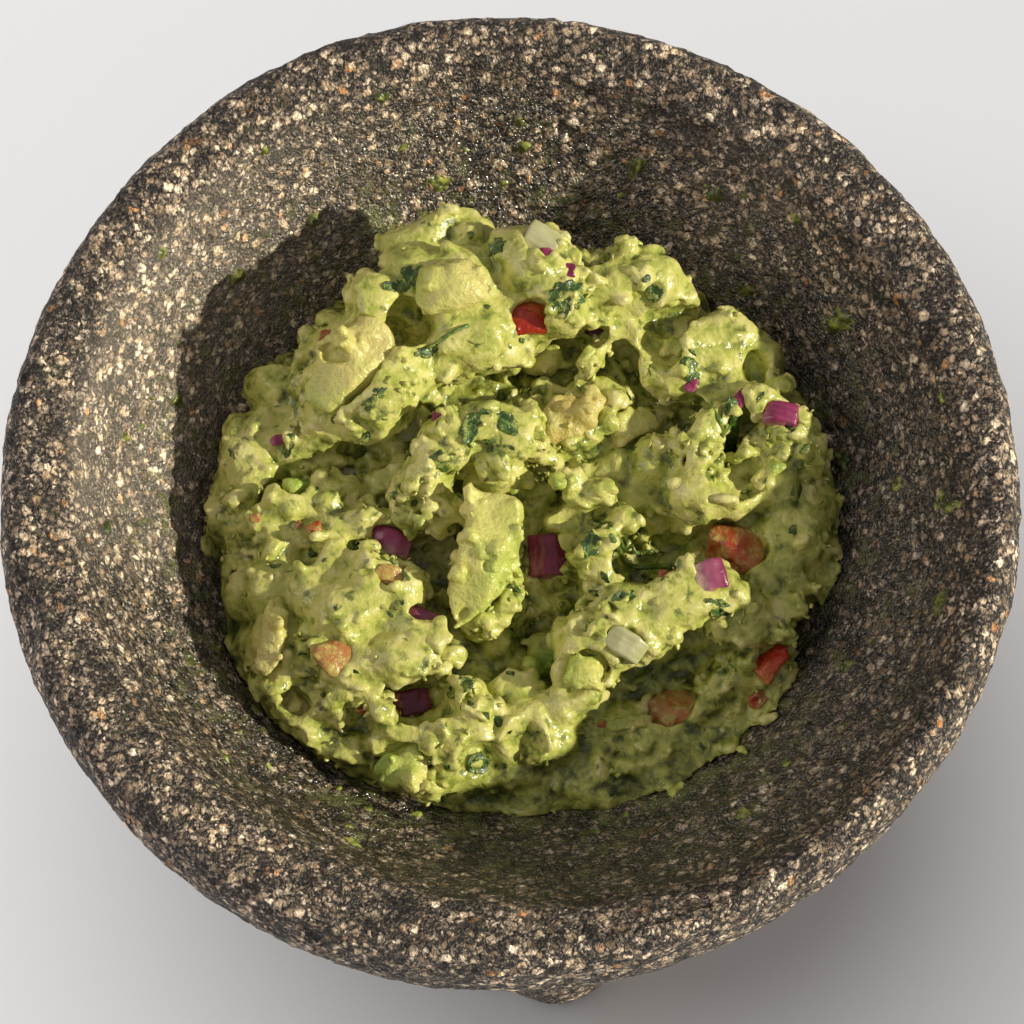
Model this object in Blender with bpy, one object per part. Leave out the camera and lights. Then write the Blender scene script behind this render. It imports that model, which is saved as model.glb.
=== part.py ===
"""Chunky guacamole, heaped in the rough stone mortar (a molcajete) it was ground in.

The mortar is one block of stone: a bowl with a rounded lip on three stout legs.
The avocado mash is one solid out to its craggy outline. It fills the bowl's hollow,
and the larger pieces in it (avocado, tomato, red onion, white onion) are solids of
their own that sit in pockets of the mash.

Sizes are in millimetres and are turned to metres in one place, in add_object.
The origin is on the table under the middle of the bowl, +Z is up, and one leg
points to -Y.
"""
import bmesh
import bpy
from math import atan2, cos, exp, hypot, pi, radians, sin, sqrt
from mathutils import Matrix, Vector, noise

MM = 0.001

# ---- driving dimensions, mm ------------------------------------------------------
OUTER_RADIUS = 100.0       # the bowl's widest circle
HEIGHT = 115.0             # table to the crest of the lip
WIDEST_Z = 105.0           # height of the widest circle
CREST_RADIUS = 94.5        # the lip's highest line
WALL_TOP_RADIUS = 86.0     # where the hollow's wall runs into the lip
WALL_TOP_Z = 111.0
HOLLOW_FLOOR_Z = 56.0      # lowest point of the hollow
BELLY_BOTTOM_Z = 30.0      # underside of the bowl, between the legs
CARVED_FROM_Z = 90.0       # above this height the carving wanders out of round
LEG_BEARINGS = (-82.0, 38.0, 158.0)   # degrees round the bowl
PIECE_GAP = 0.4            # play between a piece and the mash around it
WALL_GAP = 0.45            # play between the mash and the stone
LIP_ROUNDING = 1.7         # 1 is a straight bevel from crest to wall; more is rounder

# ---- fineness --------------------------------------------------------------------
BOWL_COLUMNS = 56          # facets round the bowl
WALL_ROWS = 8
LIP_ROWS = 3
BELLY_ROWS = 7
HEAP_COLUMNS = 50          # facets round the heap
HEAP_RINGS = 17
UNDER_RINGS = 6


def wave(bearing, *terms):
    """Sum of cosines round the bowl; each term is (amplitude, times round, degrees)."""
    return sum(size * cos(times * bearing + radians(shift)) for size, times, shift in terms)


def outline_wander(bearing):
    """Hand carving leaves the outer outline a little out of round."""
    return wave(bearing, (0.5, 3, 40.0), (0.3, 5, 160.0))


def lip_wander(bearing):
    """The hollow's mouth is cut by eye, so the lip is wide in one place, narrow in another."""
    return wave(bearing, (2.0, 1, 20.0), (2.0, 2, 90.0), (1.3, 3, 105.0))


def wall_z(radius):
    """Height of the hollow's wall: a cubic bowl, nearly flat in the middle."""
    return HOLLOW_FLOOR_Z + (WALL_TOP_Z - HOLLOW_FLOOR_Z) * (radius / WALL_TOP_RADIUS) ** 3


def wall_slope(radius):
    depth = WALL_TOP_Z - HOLLOW_FLOOR_Z
    return 3.0 * depth * radius ** 2 / WALL_TOP_RADIUS ** 3


def add_object(name, mesh, material):
    """Names the mesh's object, in metres, and gives it its material."""
    mesh.transform(Matrix.Scale(MM, 4))
    mesh.materials.append(material)
    mesh.shade_smooth()
    mesh.set_sharp_from_angle(angle=radians(45.0))
    item = bpy.data.objects.new(name, mesh)
    bpy.context.scene.collection.objects.link(item)
    return item


def mesh_from(name, points, faces):
    mesh = bpy.data.meshes.new(name)
    mesh.from_pydata(points, [], faces)
    mesh.update()
    return mesh


def finish_material(name, colour, roughness):
    material = bpy.data.materials.new(name)
    material.use_nodes = True
    shader = material.node_tree.nodes["Principled BSDF"]
    shader.inputs["Base Color"].default_value = (*colour, 1.0)
    shader.inputs["Roughness"].default_value = roughness
    shader.inputs["Metallic"].default_value = 0.0
    return material


# ---- the stone mortar ------------------------------------------------------------
def belly_profile():
    """Quarter ellipse, from the middle of the underside up to the widest circle."""
    drop = WIDEST_Z - BELLY_BOTTOM_Z
    turns = [0.5 * pi * (1.0 - row / BELLY_ROWS) for row in range(1, BELLY_ROWS + 1)]
    return [(OUTER_RADIUS * cos(turn), WIDEST_Z - drop * sin(turn)) for turn in turns]


def outer_lip_profile():
    """A quarter round from the widest circle up to the crest."""
    rise = HEIGHT - WIDEST_Z
    overhang = OUTER_RADIUS - CREST_RADIUS
    turns = [0.5 * pi * row / LIP_ROWS for row in range(1, LIP_ROWS + 1)]
    return [(CREST_RADIUS + overhang * cos(turn), WIDEST_Z + rise * sin(turn)) for turn in turns]


def inner_lip_profile():
    """From the crest the lip falls gently in to the top of the wall."""
    points = []
    for row in range(1, LIP_ROWS):
        part = row / LIP_ROWS
        radius = CREST_RADIUS + (WALL_TOP_RADIUS - CREST_RADIUS) * part
        points.append((radius, HEIGHT - (HEIGHT - WALL_TOP_Z) * part ** LIP_ROUNDING))
    return points


def wall_profile():
    """The hollow's wall, from the lip down to the middle of its floor."""
    radii = [WALL_TOP_RADIUS * (1.0 - row / WALL_ROWS) for row in range(WALL_ROWS)]
    return [(radius, wall_z(radius)) for radius in radii]


def nearness_to_rim(height):
    """0 low on the bowl, 1 from the widest circle up."""
    return min(max((height - CARVED_FROM_Z) / (WIDEST_Z - CARVED_FROM_Z), 0.0), 1.0)


def carved_outside(radius, height, bearing):
    """The outer outline wanders near the rim and runs true lower down."""
    return radius + outline_wander(bearing) * nearness_to_rim(height)


def carved_inside(radius, height, bearing):
    """The top of the hollow's wall wanders; the crest and the deep wall run true."""
    into_mouth = min((CREST_RADIUS - radius) / (CREST_RADIUS - WALL_TOP_RADIUS), 1.0)
    return radius + lip_wander(bearing) * into_mouth * nearness_to_rim(height)


def bowl_mesh():
    """The bowl as one turned shell of stone, closed by a point at each pole."""
    outside = [(*point, carved_outside) for point in belly_profile() + outer_lip_profile()]
    inside = [(*point, carved_inside) for point in inner_lip_profile() + wall_profile()]
    profile = outside + inside
    points = [(0.0, 0.0, BELLY_BOTTOM_Z)]
    for radius, height, carved in profile:
        for column in range(BOWL_COLUMNS):
            bearing = 2.0 * pi * column / BOWL_COLUMNS
            reach = carved(radius, height, bearing)
            points.append((reach * cos(bearing), reach * sin(bearing), height))
    points.append((0.0, 0.0, HOLLOW_FLOOR_Z))
    last = len(points) - 1
    faces = []
    for column in range(BOWL_COLUMNS):
        following = (column + 1) % BOWL_COLUMNS
        faces.append((0, 1 + following, 1 + column))
        for row in range(len(profile) - 1):
            low = 1 + row * BOWL_COLUMNS
            high = low + BOWL_COLUMNS
            faces.append((low + column, low + following, high + following, high + column))
        top = 1 + (len(profile) - 1) * BOWL_COLUMNS
        faces.append((top + column, top + following, last))
    return mesh_from("bowl", points, faces)


def leg_mesh(bearing_degrees):
    """A stout leg, narrowest at the foot, that widens into the belly above it."""
    # (height, distance of the leg's middle from the bowl's axis, half-width)
    sections = ((0.0, 67.0, 12.5), (3.0, 67.0, 15.0), (14.0, 66.0, 17.2),
                (28.0, 63.0, 20.5), (42.0, 58.0, 25.0), (56.0, 52.0, 29.0), (70.0, 45.0, 31.0))
    sides = 16
    bearing = radians(bearing_degrees)
    outward = Vector((cos(bearing), sin(bearing), 0.0))
    across = Vector((-sin(bearing), cos(bearing), 0.0))
    points = []
    for height, distance, half_width in sections:
        for side in range(sides):
            turn = 2.0 * pi * side / sides
            point = outward * (distance + half_width * cos(turn)) + across * half_width * sin(turn)
            points.append((point.x, point.y, height))
    faces = [tuple(reversed(range(sides)))]
    for row in range(len(sections) - 1):
        low = row * sides
        for side in range(sides):
            following = (side + 1) % sides
            faces.append((low + side, low + following, low + sides + following, low + sides + side))
    top = (len(sections) - 1) * sides
    faces.append(tuple(top + side for side in range(sides)))
    return mesh_from("leg", points, faces)


def trim_leg_to_belly(mesh):
    """Keeps the leg's buried top inside the thickness of the bowl's wall."""
    cover = 9.0
    for vertex in mesh.vertices:
        radius = hypot(vertex.co.x, vertex.co.y)
        highest = wall_z(min(radius, WALL_TOP_RADIUS)) - cover
        vertex.co.z = min(vertex.co.z, highest)


def add_mortar(material):
    bowl = add_object("molcajete", bowl_mesh(), material)
    for number, bearing in enumerate(LEG_BEARINGS, 1):
        mesh = leg_mesh(bearing)
        trim_leg_to_belly(mesh)
        leg = add_object(f"leg_{number}", mesh, material)
        leg.hide_render = True
        leg.display_type = "WIRE"
        joint = bowl.modifiers.new(f"leg {number}", "BOOLEAN")
        joint.operation = "UNION"
        joint.solver = "EXACT"
        joint.object = leg
    return bowl


# ---- the heap of mash ------------------------------------------------------------
# Spoonfuls and torn lumps that stand out of the heap: where the middle is (x, y),
# how high it tops out, half-width, half-depth, height of its flank, turn in degrees.
SPOONFULS = {
    "far left crest": (-27.0, 30.0, 105.0, 13.0, 17.0, 22.0, -25.0),
    "far crest": (-13.0, 43.0, 108.0, 17.0, 12.0, 20.0, 10.0),
    "ragged far edge": (-14.0, 54.5, 103.0, 11.5, 6.5, 18.0, 5.0),
    "folded ridge": (-9.0, 28.0, 102.0, 15.0, 5.0, 14.0, 18.0),
    "far middle lump": (6.5, 45.0, 110.5, 10.0, 12.0, 22.0, 0.0),
    "far right horn": (25.0, 45.0, 107.0, 9.0, 9.0, 18.0, -20.0),
    "far right slope": (38.0, 31.0, 97.0, 15.0, 13.0, 12.0, -25.0),
    "right ridge, far": (51.0, 20.0, 99.0, 9.0, 7.0, 12.0, -30.0),
    "right ridge, near": (43.0, 7.0, 98.0, 8.0, 10.0, 12.0, 15.0),
    "right shoulder": (55.0, -3.0, 90.0, 9.0, 16.0, 10.0, 5.0),
    "tan slab": (13.0, 21.0, 95.0, 11.0, 8.0, 8.0, 20.0),
    "middle hand": (-6.0, 9.0, 105.0, 12.0, 9.0, 17.0, 10.0),
    "hand's wrist": (-15.0, 2.0, 99.0, 6.0, 8.0, 13.0, 0.0),
    "long piece's bed": (-4.5, -12.0, 95.0, 7.5, 16.5, 14.0, 4.0),
    "middle column": (16.5, -9.0, 97.0, 7.0, 12.0, 14.0, 0.0),
    "left terrace": (-44.0, 14.0, 92.0, 13.0, 13.0, 12.0, 30.0),
    "left step": (-41.0, -2.0, 92.5, 12.0, 9.0, 11.0, 0.0),
    "middle left": (-27.0, -4.0, 92.0, 10.0, 8.0, 9.0, 0.0),
    "near left hump": (-27.0, -22.0, 96.0, 14.0, 12.0, 14.0, 25.0),
    "near left foot": (-42.0, -25.0, 89.0, 11.0, 13.0, 12.0, 25.0),
    "near lumps": (-13.0, -44.0, 87.0, 14.0, 9.0, 11.0, 5.0),
    "near peak": (-6.0, -39.0, 89.5, 6.0, 6.0, 10.0, 0.0),
    "near ridge": (10.0, -40.0, 88.0, 8.0, 8.0, 10.0, 40.0),
    "front right ridge": (24.0, -26.0, 95.0, 16.0, 8.0, 14.0, 28.0),
    "front right end": (39.0, -17.0, 96.0, 8.0, 7.0, 12.0, 0.0),
    "low right lumps": (48.0, -29.0, 84.0, 11.0, 8.0, 7.0, 35.0),
}
# Hollows that a spoon or a fold left: x, y, depth, half-width, half-depth, turn.
HOLLOWS = {
    "green scoop": (25.0, 4.0, 5.0, 10.0, 9.0, 0.0),
    "left of the long piece": (-14.0, -14.0, 8.0, 4.0, 10.0, 0.0),
    "under the fold": (-6.0, 20.0, 5.0, 9.0, 3.5, 15.0),
    "left pit": (-29.0, 10.0, 6.0, 5.0, 4.0, 0.0),
    "front right gap": (33.0, -36.0, 5.0, 15.0, 4.5, 25.0),
    "near hollow": (5.0, -27.0, 5.0, 5.0, 8.0, 0.0),
}
PLATEAU_Z = 86.5           # the heap between its lumps, over the middle of the bowl
PLATEAU_RISE_BACK = 0.115  # it rises to the far side, and a little to the right
PLATEAU_RISE_RIGHT = 0.02
CRAG_HEIGHT = 1.7          # height of the torn relief all over the heap
CRAG_WIDTH = 7.0
CRAG_MEAN = 0.2            # what the relief's noise comes to on average
LEAST_DEPTH = 2.0          # thinnest smear of mash over the wall


def shore_radius(bearing):
    """Where the mash meets the wall: pushed up a little on the right and far sides."""
    return 61.8 + wave(bearing, (3.4, 1, -25.0), (1.4, 2, 25.0), (1.0, 3, 93.0))


def heap_z(x, y):
    """Height of the heap over a point of the table."""
    bearing = atan2(y, x)
    shore = shore_radius(bearing)
    outness = min(hypot(x, y) / shore, 1.0)
    edge = wall_z(shore)
    plateau = PLATEAU_Z + PLATEAU_RISE_BACK * y + PLATEAU_RISE_RIGHT * x
    height = edge + (plateau - edge) * (1.0 - outness ** 7)
    for middle_x, middle_y, top, half_width, half_depth, flank, turn in SPOONFULS.values():
        across, along = turned(x - middle_x, y - middle_y, turn)
        outside = (across / half_width) ** 2 + (along / half_depth) ** 2
        if outside < 1.0:
            height = soft_max(height, top - flank * (1.0 - sqrt(1.0 - outside)))
    for middle_x, middle_y, depth, half_width, half_depth, turn in HOLLOWS.values():
        across, along = turned(x - middle_x, y - middle_y, turn)
        height -= depth * exp(-(across / half_width) ** 2 - (along / half_depth) ** 2)
    crag = noise.turbulence(Vector((x, y, 3.0)) / CRAG_WIDTH, 3, False)
    inward = 1.0 - outness ** 12
    height += CRAG_HEIGHT * (crag - CRAG_MEAN) * inward
    return max(height, wall_z(hypot(x, y)) + LEAST_DEPTH * inward)


def turned(x, y, turn):
    """A point's place along and across a lump that is turned by this many degrees."""
    angle = radians(turn)
    return x * cos(angle) + y * sin(angle), y * cos(angle) - x * sin(angle)


def soft_max(low, high, blend=2.0):
    """The higher of the two, with a rounded crease where they meet."""
    overlap = max(blend - abs(low - high), 0.0) / blend
    return max(low, high) + 0.25 * blend * overlap ** 2


def mash_mesh():
    """The heap's craggy top and the underside that lies in the hollow, as one closed skin."""
    points = [(0.0, 0.0, heap_z(0.0, 0.0))]
    bearings = [2.0 * pi * column / HEAP_COLUMNS for column in range(HEAP_COLUMNS)]
    for ring in range(1, HEAP_RINGS):
        for bearing in bearings:
            radius = shore_radius(bearing) * ring / HEAP_RINGS
            x, y = radius * cos(bearing), radius * sin(bearing)
            points.append((x, y, heap_z(x, y)))
    for ring in range(UNDER_RINGS, 0, -1):
        for bearing in bearings:
            radius = shore_radius(bearing) * ring / UNDER_RINGS
            lift = WALL_GAP * sqrt(1.0 + wall_slope(radius) ** 2)
            points.append((radius * cos(bearing), radius * sin(bearing), wall_z(radius) + lift))
    points.append((0.0, 0.0, HOLLOW_FLOOR_Z + WALL_GAP))
    rings = HEAP_RINGS - 1 + UNDER_RINGS
    last = len(points) - 1
    faces = []
    for column in range(HEAP_COLUMNS):
        following = (column + 1) % HEAP_COLUMNS
        faces.append((0, 1 + column, 1 + following))
        for ring in range(rings - 1):
            inner = 1 + ring * HEAP_COLUMNS
            outer = inner + HEAP_COLUMNS
            faces.append((inner + column, outer + column, outer + following, inner + following))
        bottom = 1 + (rings - 1) * HEAP_COLUMNS
        faces.append((bottom + column, last, bottom + following))
    mesh = mesh_from("mash", points, faces)
    triangulate(mesh)
    return mesh


def triangulate(mesh):
    """Bent quads are split first, so that a piece and its pocket bend alike."""
    form = bmesh.new()
    form.from_mesh(mesh)
    bmesh.ops.triangulate(form, faces=form.faces[:], quad_method="FIXED")
    form.to_mesh(mesh)
    form.free()


# ---- the larger pieces in the mash -----------------------------------------------
# Each: x, y, length, width, height, turn, tilt to the right, tilt to the front (degrees),
# and how much of its height stands out of the mash.
AVOCADO = {
    "left_crest": (-31.5, 26.0, 22.0, 15.0, 13.0, 68.0, -18.0, 12.0, 0.45),
    "far_crest": (-12.0, 41.5, 17.0, 12.0, 11.0, 12.0, 0.0, 14.0, 0.45),
    "long": (-4.5, -12.0, 31.0, 13.0, 14.0, 84.0, 0.0, 8.0, 0.55),
    "tan_slab": (11.8, 18.8, 18.0, 10.0, 6.0, 14.0, 0.0, 12.0, 0.35),
    "right_middle": (25.0, 19.0, 11.0, 9.0, 8.0, 10.0, 0.0, 10.0, 0.5),
    "far_middle": (8.0, 32.0, 9.5, 7.0, 6.0, 30.0, 0.0, 5.0, 0.45),
    "left_nub": (-43.0, 4.5, 7.5, 7.0, 7.0, 0.0, 0.0, 0.0, 0.55),
    "left_slab": (-46.0, -25.5, 16.0, 8.0, 6.0, 75.0, -25.0, 8.0, 0.4),
    "near_left_slab": (-41.5, -37.5, 15.0, 6.0, 5.0, -42.0, 0.0, 25.0, 0.35),
    "near_green": (-19.5, -50.0, 11.0, 9.0, 7.0, 10.0, 0.0, 22.0, 0.4),
    "front_right_nub": (15.5, -33.0, 10.0, 8.5, 8.0, 15.0, 0.0, 14.0, 0.45),
    "middle_green": (7.0, -25.5, 13.0, 7.0, 6.0, 80.0, 0.0, 10.0, 0.35),
    "near_left_lump": (-21.5, -30.3, 11.0, 9.0, 8.0, 5.0, 0.0, 16.0, 0.45),
}
TOMATO = {
    "far": (4.5, 36.0, 9.0, 7.0, 6.0, 5.0, 0.0, 25.0, 0.45),
    "right": (46.0, -7.0, 13.0, 9.5, 8.0, -12.0, 0.0, 12.0, 0.4),
    "front_right": (32.0, -37.0, 12.5, 8.0, 6.0, 18.0, 0.0, 14.0, 0.35),
    "right_low": (52.5, -30.0, 7.5, 6.0, 5.0, 35.0, 0.0, 20.0, 0.4),
    "near_left": (-33.5, -30.5, 8.0, 7.5, 6.0, 20.0, 0.0, 14.0, 0.4),
    "left": (-53.0, -11.5, 7.0, 9.0, 5.0, 10.0, -25.0, 0.0, 0.35),
    "left_middle": (-23.0, -15.5, 7.0, 6.0, 5.0, -20.0, 0.0, 14.0, 0.4),
}
RED_ONION = {
    "middle": (8.0, -8.0, 8.0, 8.5, 5.0, 3.0, 0.0, 12.0, 0.5),
    "left": (-23.5, -6.5, 8.5, 5.0, 5.0, -20.0, 0.0, 22.0, 0.5),
    "front_right": (39.5, -15.5, 6.0, 6.0, 5.0, 15.0, 0.0, 15.0, 0.5),
    "right": (36.5, 10.5, 5.0, 5.5, 4.0, 15.0, 0.0, 10.0, 0.5),
    "right_rim": (54.0, 17.5, 6.5, 4.5, 4.0, -10.0, 0.0, 0.0, 0.5),
    "far": (17.5, 39.0, 6.5, 4.0, 4.0, 0.0, 0.0, 10.0, 0.45),
    "near_left": (-17.5, -23.0, 9.0, 5.0, 4.0, -20.0, 0.0, 15.0, 0.4),
    "near": (-19.5, -37.0, 8.0, 5.0, 4.0, 10.0, 0.0, 20.0, 0.4),
}
WHITE_ONION = {
    "far": (6.5, 50.0, 6.5, 7.0, 4.0, 60.0, 0.0, 15.0, 0.5),
    "left": (-33.0, 7.0, 6.0, 8.5, 4.0, -10.0, 0.0, 15.0, 0.45),
    "front_right": (23.0, -29.0, 8.5, 5.0, 4.0, -35.0, 0.0, 22.0, 0.5),
    "far_left": (-21.0, 18.0, 5.0, 7.5, 4.0, 15.0, 0.0, 10.0, 0.4),
}


LARGE_PIECE = 14.5         # a piece longer than this gets more facets
AVOCADO_SQUARENESS = 0.35  # 0 is an egg, 1 is a block with rounded corners
AVOCADO_RUGGEDNESS = 0.16  # how far its surface is pushed in and out, of its half-size
TOMATO_SQUARENESS = 0.6
TOMATO_RUGGEDNESS = 0.2
BLOCK_SHARE = 0.82         # a block's half-side for an egg of half-size 1
ONION_BOW = 0.16           # how far an onion dice's ends bend down, of its length
ONION_LOPSIDED = 0.12


def rounded_lump(length, width, height, squareness, ruggedness, seed, around, rows):
    """A torn or cut piece of flesh: a rounded block, pushed out of true all over."""
    sizes = Vector((length, width, height)) / 2.0
    points = [(0.0, 0.0, -1.0)]
    for row in range(1, rows):
        lift = pi * (row / rows - 0.5)
        for step in range(around):
            turn = 2.0 * pi * step / around
            points.append((cos(lift) * cos(turn), cos(lift) * sin(turn), sin(lift)))
    points.append((0.0, 0.0, 1.0))
    placed = []
    for direction in map(Vector, points):
        biggest = max(abs(direction.x), abs(direction.y), abs(direction.z))
        block = direction / biggest
        form = direction.lerp(block * BLOCK_SHARE, squareness)
        push = 1.0 + ruggedness * noise.noise(direction * 1.7 + Vector((seed, 2.0 * seed, 0.0)))
        placed.append(tuple(form[axis] * push * sizes[axis] for axis in range(3)))
    last = len(points) - 1
    faces = []
    for step in range(around):
        following = (step + 1) % around
        faces.append((0, 1 + following, 1 + step))
        for row in range(rows - 2):
            low = 1 + row * around
            faces.append((low + step, low + following, low + around + following, low + around + step))
        top = 1 + (rows - 2) * around
        faces.append((top + step, top + following, last))
    return mesh_from("lump", placed, faces)


def onion_dice(length, width, height, seed):
    """A diced piece of one onion layer: a small slab, bowed like the bulb it came from."""
    form = bmesh.new()
    bmesh.ops.create_cube(form, size=1.0)
    bmesh.ops.subdivide_edges(form, edges=[edge for edge in form.edges if runs_along_x(edge)], cuts=2)
    bow = ONION_BOW * length
    for vertex in form.verts:
        lopsided = 1.0 + ONION_LOPSIDED * noise.noise(vertex.co * 2.0 + Vector((seed, 0.0, 0.0)))
        vertex.co.x *= length * lopsided
        vertex.co.y *= width * lopsided
        vertex.co.z = vertex.co.z * height - bow * (2.0 * vertex.co.x / length) ** 2
    mesh = bpy.data.meshes.new("dice")
    form.to_mesh(mesh)
    form.free()
    return mesh


def runs_along_x(edge):
    start, end = (vertex.co for vertex in edge.verts)
    return abs(start.x - end.x) > 0.5


def settle(mesh, middle, turn, tilt_right, tilt_front):
    """Turns and tilts a piece and moves it to its place in the heap."""
    rotation = (Matrix.Rotation(radians(tilt_front), 4, "X")
                @ Matrix.Rotation(radians(tilt_right), 4, "Y")
                @ Matrix.Rotation(radians(turn), 4, "Z"))
    mesh.transform(Matrix.Translation(middle) @ rotation)


def add_pieces(table, prefix, material, make):
    """Adds each piece of one kind; returns the pockets they need, as meshes in mm."""
    pockets = []
    for number, (name, row) in enumerate(table.items(), 1):
        x, y, length, width, height, turn, tilt_right, tilt_front, proud = row
        middle = heap_z(x, y) + height * (proud - 0.5)
        for play in (0.0, PIECE_GAP):
            mesh = make(length + 2.0 * play, width + 2.0 * play, height + 2.0 * play, number)
            triangulate(mesh)
            settle(mesh, (x, y, middle), turn, tilt_right, tilt_front)
            if play:
                pockets.append(mesh)
            else:
                add_object(f"{prefix}_{name}", mesh, material)
    return pockets


def avocado_lump(length, width, height, seed):
    around, rows = (10, 6) if length > LARGE_PIECE else (8, 5)
    return rounded_lump(length, width, height, AVOCADO_SQUARENESS, AVOCADO_RUGGEDNESS,
                        3.7 * seed, around, rows)


def tomato_lump(length, width, height, seed):
    return rounded_lump(length, width, height, TOMATO_SQUARENESS, TOMATO_RUGGEDNESS,
                        5.1 * seed, 8, 5)


def add_cutter(pockets):
    """One cutter of all the pockets; a guide, not a piece."""
    form = bmesh.new()
    for pocket in pockets:
        form.from_mesh(pocket)
    mesh = bpy.data.meshes.new("pockets")
    form.to_mesh(mesh)
    form.free()
    mesh.transform(Matrix.Scale(MM, 4))
    cutter = bpy.data.objects.new("pockets", mesh)
    bpy.context.scene.collection.objects.link(cutter)
    cutter.hide_render = True
    cutter.display_type = "WIRE"
    return cutter


def add_guacamole():
    """The pieces first, then the mash with a pocket cut for each of them."""
    mash_green = finish_material("crushed avocado", (0.33, 0.36, 0.09), 0.45)
    avocado_green = finish_material("cut avocado flesh", (0.58, 0.58, 0.16), 0.4)
    tomato_red = finish_material("tomato flesh", (0.55, 0.10, 0.03), 0.3)
    onion_purple = finish_material("red onion", (0.42, 0.07, 0.19), 0.3)
    onion_white = finish_material("white onion", (0.62, 0.58, 0.36), 0.3)
    pockets = add_pieces(AVOCADO, "avocado", avocado_green, avocado_lump)
    pockets += add_pieces(TOMATO, "tomato", tomato_red, tomato_lump)
    pockets += add_pieces(RED_ONION, "red_onion", onion_purple, onion_dice)
    pockets += add_pieces(WHITE_ONION, "white_onion", onion_white, onion_dice)
    mash = add_object("guacamole", mash_mesh(), mash_green)
    cut = mash.modifiers.new("pockets", "BOOLEAN")
    cut.operation = "DIFFERENCE"
    cut.solver = "EXACT"
    cut.object = add_cutter(pockets)


def main():
    for item in list(bpy.data.objects):
        bpy.data.objects.remove(item, do_unlink=True)
    basalt = finish_material("carved basalt", (0.12, 0.11, 0.10), 0.75)
    add_mortar(basalt)
    add_guacamole()


main()
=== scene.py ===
"""The looks of chunky guacamole in a carved stone mortar (a molcajete).

The frame gives the mortar, the mash and the larger pieces in it at their true size and
place. This script dresses them: stone with its grain, pits and stains, mash with its torn
and spooned relief, crumbs, chopped herb, and the smears that the pestle left on the wall.
Sizes are in millimetres; mesh_of and put_points turn them to metres. The camera and the
lights are placed in metres.
"""
from itertools import product
from math import cos, pi, radians, sin, sqrt

import bmesh
import bpy
import numpy as np
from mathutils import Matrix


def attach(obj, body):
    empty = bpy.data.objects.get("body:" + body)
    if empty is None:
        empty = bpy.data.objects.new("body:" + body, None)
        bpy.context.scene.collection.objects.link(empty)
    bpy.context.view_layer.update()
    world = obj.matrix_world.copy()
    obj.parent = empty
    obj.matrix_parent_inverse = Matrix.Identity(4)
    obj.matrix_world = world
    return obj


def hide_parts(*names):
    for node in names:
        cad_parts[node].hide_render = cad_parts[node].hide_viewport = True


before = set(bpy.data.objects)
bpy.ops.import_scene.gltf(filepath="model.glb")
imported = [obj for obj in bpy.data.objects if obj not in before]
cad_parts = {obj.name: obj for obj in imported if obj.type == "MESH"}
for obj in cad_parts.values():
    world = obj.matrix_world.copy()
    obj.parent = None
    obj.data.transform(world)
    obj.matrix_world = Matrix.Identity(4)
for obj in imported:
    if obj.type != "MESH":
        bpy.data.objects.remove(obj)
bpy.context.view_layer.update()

import openvdb
from mathutils import Matrix, Vector

MM = 0.001
BODY = "root"
MASH_SEED, LEAF_SEED, BIT_SEED, DROP_SEED = 11, 21, 22, 23

# ---- the mortar's form, mm, as it is carved in the frame ---------------------------
OUTER_RADIUS = 100.0
HEIGHT = 115.0
WIDEST_Z = 105.0
CREST_RADIUS = 94.5
WALL_TOP_RADIUS = 86.0
WALL_TOP_Z = 111.0
HOLLOW_FLOOR_Z = 56.0
BELLY_BOTTOM_Z = 30.0
CARVED_FROM_Z = 90.0
LIP_ROUNDING = 1.7
LEG_BEARINGS = (-82.0, 38.0, 158.0)


# ---- small helpers -----------------------------------------------------------------
def linear(code):
    """An sRGB hex colour as the linear values that a shader wants."""
    parts = [int(code[place:place + 2], 16) / 255.0 for place in (1, 3, 5)]
    return tuple(part / 12.92 if part <= 0.04045 else ((part + 0.055) / 1.055) ** 2.4
                 for part in parts) + (1.0,)


def add_piece(name, mesh, material, replaced=()):
    """Adds a finished mesh, and says what it rides on and what it stands for."""
    mesh.shade_smooth()
    mesh.materials.clear()
    mesh.materials.append(material)
    piece = bpy.data.objects.new(name, mesh)
    bpy.context.scene.collection.objects.link(piece)
    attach(piece, BODY)
    if replaced:
        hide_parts(*replaced)
    return piece


def mesh_of(name, points, faces):
    """A mesh from points in mm and an array of faces that have equal counts of corners."""
    mesh = bpy.data.meshes.new(name)
    corners = faces.shape[1]
    mesh.vertices.add(len(points))
    mesh.vertices.foreach_set("co", (points * MM).astype(np.float32).ravel())
    mesh.loops.add(faces.size)
    mesh.loops.foreach_set("vertex_index", faces.astype(np.int32).ravel())
    mesh.polygons.add(len(faces))
    mesh.polygons.foreach_set("loop_start", np.arange(0, faces.size, corners, dtype=np.int32))
    mesh.update(calc_edges=True)
    return mesh


def paint(mesh, name, values):
    """Keeps a number for each point of a mesh, for its material to read."""
    layer = mesh.attributes.new(name, "FLOAT", "POINT")
    layer.data.foreach_set("value", np.asarray(values, np.float32))


def points_of(mesh):
    """A mesh's points in mm, and the way that each one faces."""
    points = np.empty(len(mesh.vertices) * 3, np.float32)
    mesh.vertices.foreach_get("co", points)
    normals = np.empty(len(mesh.vertices) * 3, np.float32)
    mesh.vertices.foreach_get("normal", normals)
    return points.reshape(-1, 3) / MM, normals.reshape(-1, 3)


def put_points(mesh, points):
    mesh.vertices.foreach_set("co", (points * MM).astype(np.float32).ravel())
    mesh.update()


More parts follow.
